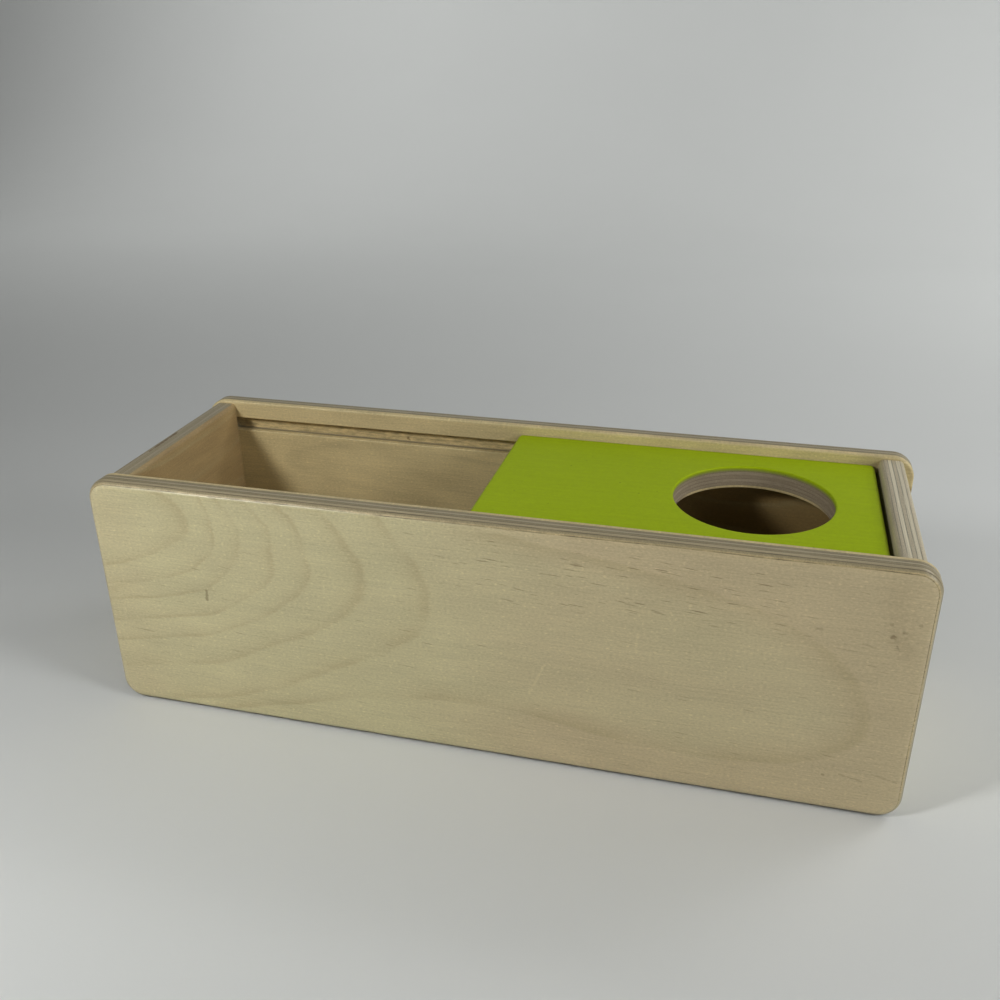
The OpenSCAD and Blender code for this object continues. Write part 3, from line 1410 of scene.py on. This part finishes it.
    def floor_groove(self, loop: np.ndarray) -> np.ndarray:
        """Band of the inner face round the groove that the floor sits in.

        Args:
            loop: points round the band.

        Returns:
            Points of the band and the groove, as pocket gives them.
        """
        low, high = cad_box("floor_panel")
        half = (high[2] - low[2]) / 2
        depth = high[1] - self.inner + self.glue_clear
        end = high[0] + self.glue_clear
        return pocket(loop, (0.0, low[2] + half), end, half + self.glue_clear, depth, self.arris)

    def dowel_hole(self, loop: np.ndarray, end: str, row: str) -> np.ndarray:
        """Square of the inner face round one dowel hole.

        Args:
            loop: points round the square.
            end: left or right, the end of the box.
            row: lower or upper, the row of the dowel.

        Returns:
            Points of the square and the hole, as pocket gives them.
        """
        side = "back" if self.back else "front"
        low, high = cad_box(f"{side}_{end}_{row}_dowel")
        radius = (high[0] - low[0]) / 2 + self.glue_clear
        depth = np.abs([low[1], high[1]]).max() - self.inner + self.glue_clear
        centre = ((low[0] + high[0]) / 2, (low[2] + high[2]) / 2)
        return pocket(loop, centre, 0.0, radius, depth, self.arris)


@dataclass
class EndPanel:
    """End panel: a section with rounded upper and lower edges and a floor notch, carried across the box.

    Attributes:
        node: CAD node that the panel stands for.
        edge_r: radius of the upper and lower edges.
        glue_clear: clearance of a glued fit.
        ease: radius of the dowel holes' eased rims.
        columns: points through the thickness.
        zone_rows: points up the square round a dowel hole.
        edge_steps: points on a rounded edge.
        rows: points across the box.
    """

    node: str
    edge_r: float = 2.0
    glue_clear: float = 0.1
    ease: float = 0.3
    columns: int = 9
    zone_rows: int = 9
    edge_steps: int = 8
    rows: int = 18

    def __post_init__(self) -> None:
        """Reads the panel's place from the frame."""
        self.low, self.high = cad_box(self.node)
        self.thick = self.high[0] - self.low[0]
        self.right = self.low[0] > 0
        self.inner = self.low[0] if self.right else self.high[0]
        self.outward = 1 if self.right else -1

    def place(self, points: np.ndarray, y: np.ndarray | float) -> np.ndarray:
        """Turns (distance from the inner face, height) at a place across the box into coordinates."""
        x = self.inner + self.outward * points[..., 0]
        return np.stack(np.broadcast_arrays(x, y, points[..., 1]), axis=-1)

    def section(self) -> tuple[np.ndarray, dict[str, int]]:
        """Cross-section of the panel as a grid.

        Rows rise from the lower edge to the upper one, and are drawn in where the edges are rounded.
        One column lies at the bottom of the floor notch.

        Returns:
            Points shaped (rows, columns, 2), and the rows where the notch and the dowel squares start.
        """
        floor_low, floor_high = cad_box("floor_panel")
        notch = floor_high[0] - abs(self.inner) + self.glue_clear
        dowels = [cad_box(f"front_left_{row}_dowel") for row in ("lower", "upper")]
        start = (floor_high[2] + dowels[0][0][2]) / 2
        middle = (dowels[0][1][2] + dowels[1][0][2]) / 2
        stop = 2 * dowels[1][1][2] - dowels[1][0][2]
        along, down = roundover(self.edge_r, self.edge_steps)
        inset = self.edge_r - along
        squares = np.concatenate([np.linspace(start, middle, self.zone_rows)[:-1],
                                  np.linspace(middle, stop, self.zone_rows)])
        notch_rows = [floor_low[2] - self.glue_clear, floor_high[2] + self.glue_clear]
        heights = np.concatenate([self.low[2] + down, notch_rows, squares, self.high[2] - down[::-1]])
        insets = np.concatenate([inset, np.zeros(2 + len(squares)), inset[::-1]])
        share = np.linspace(0.0, 1.0, self.columns)
        share[np.argmin(abs(share - notch / self.thick))] = notch / self.thick
        u = insets[:, None] + share * (self.thick - 2 * insets[:, None])
        grid = np.stack([u, np.broadcast_to(heights[:, None], u.shape)], axis=-1)
        count = self.edge_steps
        rows = {"notch": count, "start": count + 2, "middle": count + 1 + self.zone_rows}
        rows["stop"] = rows["middle"] + self.zone_rows - 1
        rows["column"] = int(np.argmin(abs(share - notch / self.thick)))
        return grid, rows

    def build(self) -> bpy.types.Object:
        """Makes the panel's closed surface: the section's outline carried across, and two capped ends.

        Returns:
            The panel.
        """
        shell = Shell()
        grid, row = self.section()
        notch, deep = row["notch"], row["column"]
        outline = np.concatenate([
            grid[:notch + 1, 0], grid[notch, 1:deep + 1], grid[notch + 1, deep:0:-1], grid[notch + 1:, 0],
            grid[-1, 1:], grid[-2::-1, -1], grid[0, -2:0:-1],
        ])
        y = np.linspace(self.low[1], self.high[1], self.rows)[:, None]
        shell.add(self.place(outline[None], y), closed=True)
        for end in (self.low[1], self.high[1]):
            flats = [grid[:notch + 1], grid[notch:notch + 2, deep:], grid[notch + 1:row["start"] + 1],
                     grid[row["stop"]:]]
            for flat in flats:
                shell.add(self.place(flat, end))
            side = "front" if end < 0 else "back"
            for level, first, last in (("lower", "start", "middle"), ("upper", "middle", "stop")):
                square = border(grid[row[first]:row[last] + 1])
                hole = self.dowel_hole(square, side, level)
                shell.add(self.place(hole, end - np.sign(end) * hole[..., 2]), closed=True)
        return shell.build(self.node + "_board")

    def dowel_hole(self, loop: np.ndarray, side: str, level: str) -> np.ndarray:
        """Square of the panel's butt end round one dowel hole.

        Args:
            loop: points round the square.
            side: front or back, the side panel that the butt end meets.
            level: lower or upper, the row of the dowel.

        Returns:
            Points of the square and the hole, as pocket gives them.
        """
        end = "right" if self.right else "left"
        low, high = cad_box(f"{side}_{end}_{level}_dowel")
        radius = (high[0] - low[0]) / 2 + self.glue_clear
        depth = self.high[1] - np.abs([low[1], high[1]]).min() + self.glue_clear
        return pocket(loop, (self.thick / 2, (low[2] + high[2]) / 2), 0.0, radius, depth, self.ease)


@dataclass
class FloorPanel:
    """Floor: a thin board with eased edges, a profile carried round a rounded rectangle.

    Attributes:
        node: CAD node that the floor stands for.
        corner_r: radius of the corners, seen from above.
        edge_r: radius of the eased edges.
        step: distance of the points along the sides.
        support: width of the flat strip beside an eased edge.
        corner_steps: points on a corner.
    """

    node: str = "floor_panel"
    corner_r: float = 0.8
    edge_r: float = 0.3
    step: float = 6.0
    support: float = 0.2
    corner_steps: int = 5

    def build(self) -> bpy.types.Object:
        """Makes the floor's closed surface, both faces joined to the board's middle line.

        Returns:
            The floor.
        """
        low, high = cad_box(self.node)
        x, y = (np.linspace(low[axis] + self.corner_r, high[axis] - self.corner_r,
                            round((high[axis] - low[axis]) / self.step))
                for axis in (Axis.X.value, Axis.Y.value))
        ring = Ring.around(x, y, self.corner_steps)
        along, down = roundover(self.edge_r, EASE_STEPS)
        flat = self.corner_r - self.edge_r
        strip = [flat - self.support]
        rho = np.concatenate([strip, flat + along, flat + along[::-1], strip])
        height = np.concatenate([[high[2]], high[2] - down, low[2] + down[::-1], [low[2]]])
        rows = ring.sweep(rho, height)
        reach = high[0] - high[1]
        spine = rows[[0, -1]] * (1, 0, 1)
        spine[..., 0] = np.clip(spine[..., 0], -reach, reach)
        shell = Shell()
        shell.add(np.concatenate([spine[:1], rows, spine[1:]]), closed=True)
        return shell.build(self.node + "_board")


@dataclass
class SlidingLid:
    """Sliding lid: a shouldered board with a tongue along both long edges and an eased round hole.

    Every column of its grid starts on the hole's rim, crosses the upper face, goes over the arris, down the
    side, out along the shoulder, round the tongue, back along the lower face and up the hole's wall.

    Attributes:
        node: CAD node that the lid stands for.
        corner_r: reach of the ring round the body, which takes in the largest arris.
        end_r: radius of the short edges.
        side_r: radius of the long edges.
        shoulder_clear: clearance between the shoulders and the side panels.
        tongue_thick: thickness of the tongue.
        tongue_ease: width of the tongue's eased edge.
        hole_r: radius of the hole.
        hole_margin: distance from the lid's right end to the hole.
        hole_ease: radius of the hole's eased rims.
        step: distance of the points along the sides.
        support: width of the flat strip beside an arris.
        hole_support: width of the flat strip beside the hole's rims.
        corner_steps: points on a corner.
        arris_steps: points on an arris.
        hole_steps: points on an eased rim of the hole.
        wall_rows: points up the hole's wall.
    """

    node: str = "sliding_lid"
    corner_r: float = 1.8
    end_r: float = 1.5
    side_r: float = 0.5
    shoulder_clear: float = 0.4
    tongue_thick: float = 5.0
    tongue_ease: float = 0.3
    hole_r: float = 28.5
    hole_margin: float = 15.8
    hole_ease: float = 0.6
    step: float = 1.8
    support: float = 0.25
    hole_support: float = 0.4
    corner_steps: int = 7
    arris_steps: int = 7
    hole_steps: int = 6
    wall_rows: int = 10

    def __post_init__(self) -> None:
        """Reads the lid's place from the frame."""
        self.low, self.high = cad_box(self.node)
        self.body_half = abs(cad_box("back_panel")[0][1]) - self.shoulder_clear
        self.hole_x = self.high[0] - self.hole_margin - self.hole_r

    def build(self) -> bpy.types.Object:
        """Makes the lid's closed surface as one grid that joins itself both ways.

        Returns:
            The lid.
        """
        reach = self.body_half - self.corner_r
        x = np.linspace(self.low[0] + self.corner_r, self.high[0] - self.corner_r,
                        round((self.high[0] - self.low[0]) / self.step))
        y = np.linspace(-reach, reach, round(2 * reach / self.step))
        ring = Ring.around(x, y, self.corner_steps)
        rounding = np.hypot(self.end_r * ring.direction[:, 0], self.side_r * ring.direction[:, 1])
        on_end = np.isin(ring.run, (0, 4))
        ear = np.where(on_end, 0.0, np.sign(ring.anchor[:, 1])) * (self.high[1] - self.body_half)
        shell = Shell()
        rows = self.upper_rows(ring, rounding) + self.lower_rows(ring, rounding, ear)
        rows += self.hole_rows(rows[0][:, :2])
        shell.add(np.stack(rows + rows[:1]), closed=True)
        return shell.build(self.node + "_board")

    def row(self, ring: Ring, rho: np.ndarray | float, height: np.ndarray | float,
            ear: np.ndarray | float = 0.0) -> np.ndarray:
        """One row of the grid.

        Args:
            ring: ring round the lid's body.
            rho: distances from the ring's core.
            height: heights of the row.
            ear: how far the tongue moves the row outwards on Y.

        Returns:
            Points shaped (columns, 3).
        """
        flat = ring.at(rho)
        return np.column_stack([flat[:, 0], flat[:, 1] + ear, np.broadcast_to(height, len(flat))])

    def upper_rows(self, ring: Ring, rounding: np.ndarray) -> list[np.ndarray]:
        """Rows from the upper face over the arris to the shoulder.

        Args:
            ring: ring round the lid's body.
            rounding: radius of the arris in each column, large at the ends and small along the sides.

        Returns:
            The rows, from the upper face downwards.
        """
        along, down = roundover(1.0, self.arris_steps)
        flat = self.corner_r - rounding
        rows = [self.row(ring, flat - self.support, self.high[2])]
        rows += [self.row(ring, flat + a * rounding, self.high[2] - d * rounding)
                 for a, d in zip(along, down)]
        return rows + [self.row(ring, self.corner_r, self.low[2] + self.tongue_thick)]

    def lower_rows(self, ring: Ring, rounding: np.ndarray, ear: np.ndarray) -> list[np.ndarray]:
        """Rows from the shoulder round the tongue to the lower face.

        Args:
            ring: ring round the lid's body.
            rounding: radius of the arris in each column.
            ear: how far each column's tongue stands out on Y.

        Returns:
            The rows, from the shoulder downwards.
        """
        along, down = roundover(1.0, self.arris_steps)
        flat = self.corner_r - rounding
        shoulder = self.low[2] + self.tongue_thick
        ease = np.where(ear == 0.0, 0.0, self.tongue_ease)
        rows = [self.row(ring, self.corner_r - ease, shoulder, ear),
                self.row(ring, self.corner_r, shoulder - ease, ear)]
        rows += [self.row(ring, flat + a * rounding, self.low[2] + d * rounding, ear)
                 for a, d in zip(along[::-1], down[::-1])]
        return rows + [self.row(ring, flat - self.support, self.low[2], ear)]

    def hole_rows(self, top_loop: np.ndarray) -> list[np.ndarray]:
        """Rows from the lower face up the hole's wall to the upper face.

        Args:
            top_loop: points round the upper face, which give each column its direction from the hole.

        Returns:
            The rows, from below upwards.
        """
        centre = np.array([self.hole_x, 0.0])
        away = top_loop - centre
        direction = away / np.linalg.norm(away, axis=1, keepdims=True)
        along, down = roundover(self.hole_ease, self.hole_steps)
        rim = self.hole_r + self.hole_ease
        strip = [rim + self.hole_support]
        wall = np.linspace(self.low[2] + self.hole_ease, self.high[2] - self.hole_ease, self.wall_rows)
        wall = wall[1:-1]
        radii = np.concatenate([strip, rim - along, np.full(len(wall), self.hole_r),
                                rim - along[::-1], strip])
        heights = np.concatenate([[self.low[2]], self.low[2] + down, wall, self.high[2] - down[::-1],
                                  [self.high[2]]])
        return [np.column_stack([centre + r * direction, np.full(len(direction), h)])
                for r, h in zip(radii, heights)]


@dataclass
class Stage:
    """Pale paper sweep: a floor that bends up behind the box.

    Attributes:
        half_width: half the width of the paper.
        front: where the paper starts on Y.
        bend_start: where the bend starts on Y.
        bend_r: radius of the bend.
        height: height of the wall.
        bend_steps: points on the bend.
        columns: points across the paper.
        pale: colour of the paper.
        relief_depth: height that a relief of 1 stands for.
    """

    half_width: float = 3000.0
    front: float = -2500.0
    bend_start: float = 900.0
    bend_r: float = 700.0
    height: float = 2600.0
    bend_steps: int = 24
    columns: int = 13
    pale: Colour = (0.74, 0.755, 0.74)
    relief_depth: float = 0.02

    def build(self) -> bpy.types.Object:
        """Makes the sweep: a straight run, a quarter turn and a wall, carried along X.

        Returns:
            The sweep.
        """
        along, up = roundover(self.bend_r, self.bend_steps)
        y = np.concatenate([[self.front, 0.0], self.bend_start + along, [self.bend_start + self.bend_r]])
        z = np.concatenate([[0.0, 0.0], up, [self.height]])
        x = np.linspace(-self.half_width, self.half_width, self.columns)
        grid = np.stack(np.broadcast_arrays(x[None], y[:, None], z[:, None]), axis=-1)
        points = grid.reshape(-1, 3) * MM
        number = np.arange(len(points)).reshape(grid.shape[:2])
        cells = np.stack([number[:-1, :-1], number[:-1, 1:], number[1:, 1:], number[1:, :-1]], axis=-1)
        mesh = bpy.data.meshes.new("sweep")
        mesh.from_pydata(points, [], cells.reshape(-1, 4).tolist())
        mesh.shade_smooth()
        sweep = bpy.data.objects.new("sweep", mesh)
        bpy.context.scene.collection.objects.link(sweep)
        dress(sweep, self.paper())
        return sweep

    def paper(self) -> bpy.types.Material:
        """Matt pale paper with faint clouds.

        Returns:
            The material.
        """
        tree = Tree("pale_paper")
        place = tree.split(tree.point())
        cloud = tree.lumps(place, (180.0, 180.0, 180.0))
        tooth = tree.lumps(place, (1.2, 1.2, 1.2))
        colour = tree.shade(self.pale, 0.985 + cloud * 0.03)
        return tree.finish(colour, 0.85 + tooth * 0.05, tooth, self.relief_depth, {"IOR": 1.3})


@dataclass(frozen=True)
class Lamp:
    """Soft square lamp with white light.

    Attributes:
        name: name of the lamp.
        place: middle of the lamp.
        size: side of the lamp.
        watts: power.
        target: point that the lamp looks at.
    """

    name: str
    place: Place
    size: float
    watts: float
    target: Place = (0.0, 0.0, 50.0)

    def build(self) -> bpy.types.Object:
        """Makes the lamp and turns it to its target.

        Returns:
            The lamp.
        """
        light = bpy.data.lights.new(self.name, "AREA")
        light.size = self.size * MM
        light.energy = self.watts
        lamp = bpy.data.objects.new(self.name, light)
        lamp.location = Vector(self.place) * MM
        toward = Vector(self.target) - Vector(self.place)
        lamp.rotation_euler = toward.to_track_quat("-Z", "Y").to_euler()
        lamp.visible_camera = False
        bpy.context.scene.collection.objects.link(lamp)
        return lamp


LAMPS = (
    Lamp("key", (-299.0, -362.0, 355.0), 85.0, 1.3),
    Lamp("left_fill", (-700.0, -400.0, 120.0), 200.0, 0.38),
    Lamp("right_fill", (900.0, -250.0, 500.0), 320.0, 3.9),
    Lamp("right_near", (420.0, 120.0, 330.0), 150.0, 0.24, target=(110.0, 0.0, 93.0)),
    Lamp("right_front", (330.0, -420.0, 200.0), 150.0, 0.18, target=(100.0, -60.0, 20.0)),
    Lamp("ceiling", (0.0, 0.0, 1300.0), 900.0, 0.264),
    Lamp("wash_right", (750.0, 650.0, 800.0), 500.0, 5.55, target=(500.0, 1200.0, 0.0)),
    Lamp("wash_left", (-700.0, 700.0, 900.0), 500.0, 3.68, target=(-500.0, 1600.0, 250.0)),
    Lamp("wash_high", (-700.0, 700.0, 900.0), 400.0, 1.38, target=(-800.0, 1600.0, 900.0)),
)
# Strength of the even light from all round
WORLD_LIGHT = 0.063
# Below 1, it deepens the shadows as a camera's tone curve does
VIEW_GAMMA = 0.85


@dataclass(frozen=True)
class PhotoCamera:
    """Camera at the photograph's place.

    Attributes:
        place: place of the lens.
        target: point in the middle of the view.
        roll: turn about the view, in degrees.
        lens: focal length.
        sensor: width of the sensor.
        near: nearest distance that is shown.
    """

    place: Place = (88.10, -342.62, 248.23)
    target: Place = (-3.61, 0.645, 81.57)
    roll: float = -0.573
    lens: float = 36.505
    sensor: float = 36.0
    near: float = 10.0

    def build(self) -> bpy.types.Object:
        """Makes the camera and hands it to the scene.

        Returns:
            The camera.
        """
        data = bpy.data.cameras.new("photo_camera")
        data.lens = self.lens
        data.sensor_width = self.sensor
        data.clip_start = self.near * MM
        camera = bpy.data.objects.new("photo_camera", data)
        toward = Vector(self.target) - Vector(self.place)
        turn = toward.to_track_quat("-Z", "Y").to_matrix().to_4x4()
        camera.matrix_world = (Matrix.Translation(Vector(self.place) * MM) @ turn
                               @ Matrix.Rotation(math.radians(self.roll), 4, "Z"))
        bpy.context.scene.collection.objects.link(camera)
        bpy.context.scene.camera = camera
        return camera


# Nick, scratches, smudges and flecks on the front panel's outer face
FRONT_MARKS = (
    Mark((-104.9, -50.5, 56.0), (-105.1, -50.5, 51.9), 0.8, 0.42),
    Mark((25.6, -50.5, 43.9), (20.1, -50.5, 30.9), 0.6, -0.08),
    Mark((57.8, -50.5, 61.9), (57.2, -50.5, 54.9), 0.7, -0.06),
    Mark((137.4, -50.5, 72.6), (138.0, -50.5, 72.3), 1.0, 0.38),
    Mark((139.1, -50.5, 69.6), (139.6, -50.5, 68.9), 0.7, 0.3),
    Mark((140.4, -50.5, 74.9), (141.4, -50.5, 74.9), 0.7, 0.24),
    Mark((129.0, -50.5, 69.0), (132.7, -50.5, 68.1), 0.5, 0.14),
    Mark((136.2, -50.5, 77.2), (136.6, -50.5, 77.2), 0.6, 0.2),
    Mark((144.6, -50.5, 78.1), (145.0, -50.5, 78.1), 0.6, 0.2),
    Mark((139.7, -50.5, 71.8), (141.7, -50.5, 67.8), 5.0, 0.1, 0.0),
    Mark((136.7, -50.5, 88.7), (138.7, -50.5, 76.7), 8.0, 0.09, 0.0),
    Mark((114.6, -50.5, 72.6), (115.7, -50.5, 72.8), 0.9, 0.22),
    Mark((128.4, -50.5, 16.5), (135.7, -50.5, 14.9), 0.5, 0.2),
    Mark((138.7, -50.5, 18.5), (146.6, -50.5, 16.6), 0.5, 0.16),
    Mark((122.8, -50.5, 15.3), (123.4, -50.5, 15.2), 0.6, 0.3),
    Mark((-81.6, -50.2, 96.0), (-81.0, -50.2, 96.0), 0.5, 0.5),
)
# Crack, and a dark line along the outer rim, in the left end panel's upper edge
LEFT_END_MARKS = (
    Mark((-142.9, -17.3, 95.75), (-143.2, 3.5, 95.75), 0.55, 0.75),
    Mark((-144.6, -39.1, 95.4), (-144.2, -20.3, 95.6), 0.6, 0.3),
)
# Chip in the groove of the back panel
BACK_MARKS = (Mark((-56.8, 45.8, 84.8), (-56.4, 45.8, 84.5), 0.9, 0.6),)


def plywood_boards() -> dict[str, Plywood]:
    """Plywood of every board, from the places of the CAD nodes.

    Returns:
        The finish of each board by the name of its node.
    """
    boxes = {name: cad_box(name) for name in ("front_panel", "back_panel", "left_end_panel",
                                              "right_end_panel", "floor_panel", "sliding_lid")}
    front_low, front_high = boxes["front_panel"]
    heart = HeartFigure(left=front_low[0], top=front_high[2])

    def lay(name: str, along: Axis, across: Axis, through: Axis, from_high: bool) -> Lay:
        """Lay of a board in the frame.

        Args:
            name: name of the board's node.
            along: axis of the face grain.
            across: axis in the face, square to the grain.
            through: axis of the thickness.
            from_high: whether the outer face is the high side of the node's box.

        Returns:
            The lay.
        """
        low, high = boxes[name]
        outer = (high if from_high else low)[through.value]
        thick = high[through.value] - low[through.value]
        return Lay(along, across, through, outer, -1 if from_high else 1, thick)

    x, y, z = Axis
    return {
        # The front and back panels' foot edges get painted contact shade
        "front_panel": Plywood(
            "front_plywood", lay("front_panel", x, z, y, False), (heart, ContourFigure(11.0)), seed=1.0,
            marks=FRONT_MARKS, crowded=(45.5, 79.8), foot_shade_height=2.4, backing=2.1),
        # The back panel's inner veneer also gets painted shade under the lid
        "back_panel": Plywood(
            "back_plywood", lay("back_panel", x, z, y, True),
            (ContourFigure(21.3), ContourFigure(27.0, count=5.0)), seed=2.0,
            marks=BACK_MARKS, foot_shade_height=2.4, backing=2.1, under_lid_shade_below=84.0),
        # The left end panel's darker, warmer inner veneer is painted shade, standing in for the shade and
        # warm bounced light on that face
        "left_end_panel": Plywood(
            "left_end_plywood", lay("left_end_panel", y, z, x, False),
            (ContourFigure(33.1), ContourFigure(36.0)), seed=3.0, marks=LEFT_END_MARKS, glue=0.15,
            inside=(0.45, 0.333, 0.172), side_grain=(0.405, 0.35, 0.24), end_grain=(0.37, 0.32, 0.215)),
        # The right end panel's lighter cut edges are painted light, standing in for the stronger light on
        # that end
        "right_end_panel": Plywood(
            "right_end_plywood", lay("right_end_panel", y, z, x, True),
            (ContourFigure(41.7), ContourFigure(44.0)), seed=4.0, cut_tone=1.5, pale=(0.62, 0.585, 0.44),
            inside=(0.57, 0.505, 0.36), side_grain=(0.47, 0.43, 0.325), end_grain=(0.36, 0.32, 0.235)),
        "floor_panel": Plywood(
            "floor_plywood", lay("floor_panel", x, y, z, True),
            (ContourFigure(52.9), ContourFigure(57.0)), seed=5.0, plies=3, pale=(0.50, 0.42, 0.25),
            warm=(0.47, 0.38, 0.215)),
        "sliding_lid": Plywood(
            "lid_plywood", lay("sliding_lid", x, y, z, True),
            (ContourFigure(61.0), ContourFigure(66.0)), seed=6.0, cut_tone=0.9, glue=0.25,
            side_grain=(0.48, 0.405, 0.30), end_grain=(0.41, 0.345, 0.25)),
    }


def add_piece(piece: bpy.types.Object, node: str, body: Body,
              material: bpy.types.Material) -> None:
    """Dresses a piece, lets it ride on a body and stand for its CAD node.

    Args:
        piece: the new piece.
        node: CAD node that it replaces.
        body: body that it moves with.
        material: finish of the piece.
    """
    dress(piece, material)
    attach(piece, body.value)
    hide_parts(node)
    log.info("%s stands for %s on %s", piece.name, node, body.value)


def add_box() -> None:
    """Builds the walls and the floor, and finishes the dowels that join them."""
    plywood = plywood_boards()
    walls = [SidePanel("front_panel"), SidePanel("back_panel"), EndPanel("left_end_panel"),
             EndPanel("right_end_panel"), FloorPanel()]
    for wall in walls:
        add_piece(wall.build(), wall.node, Body.BOX, plywood[wall.node].material())
    beech = Beech().material()
    for name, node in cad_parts.items():
        if name.endswith("_dowel"):
            for slot in node.material_slots:
                slot.material = beech
            log.info("%s keeps its shape, in bare beech", name)


def add_lid() -> None:
    """Builds the sliding lid."""
    lid = SlidingLid()
    board = plywood_boards()["sliding_lid"]
    lacquer = GreenLacquer("green_lacquer", board, lid.hole_x, lid.hole_r, lid.high[2])
    add_piece(lid.build(), lid.node, Body.LID, lacquer.material())


def add_light() -> None:
    """Sets the even light of the room and the lamps."""
    world = bpy.data.worlds.new("room")
    world.use_nodes = True
    background = world.node_tree.nodes["Background"]
    background.inputs["Color"].default_value = (1.0, 1.0, 1.0, 1.0)
    background.inputs["Strength"].default_value = WORLD_LIGHT
    bpy.context.scene.world = world
    view = bpy.context.scene.view_settings
    view.view_transform = "Standard"
    view.gamma = VIEW_GAMMA
    for lamp in LAMPS:
        lamp.build()


def main() -> None:
    """Builds the camera, the box, the lid, the stage and the light, in that order."""
    logging.basicConfig(level=logging.INFO, format="%(message)s")
    PhotoCamera().build()
    add_box()
    add_lid()
    Stage().build()
    add_light()


if __name__ == "__main__":
    main()
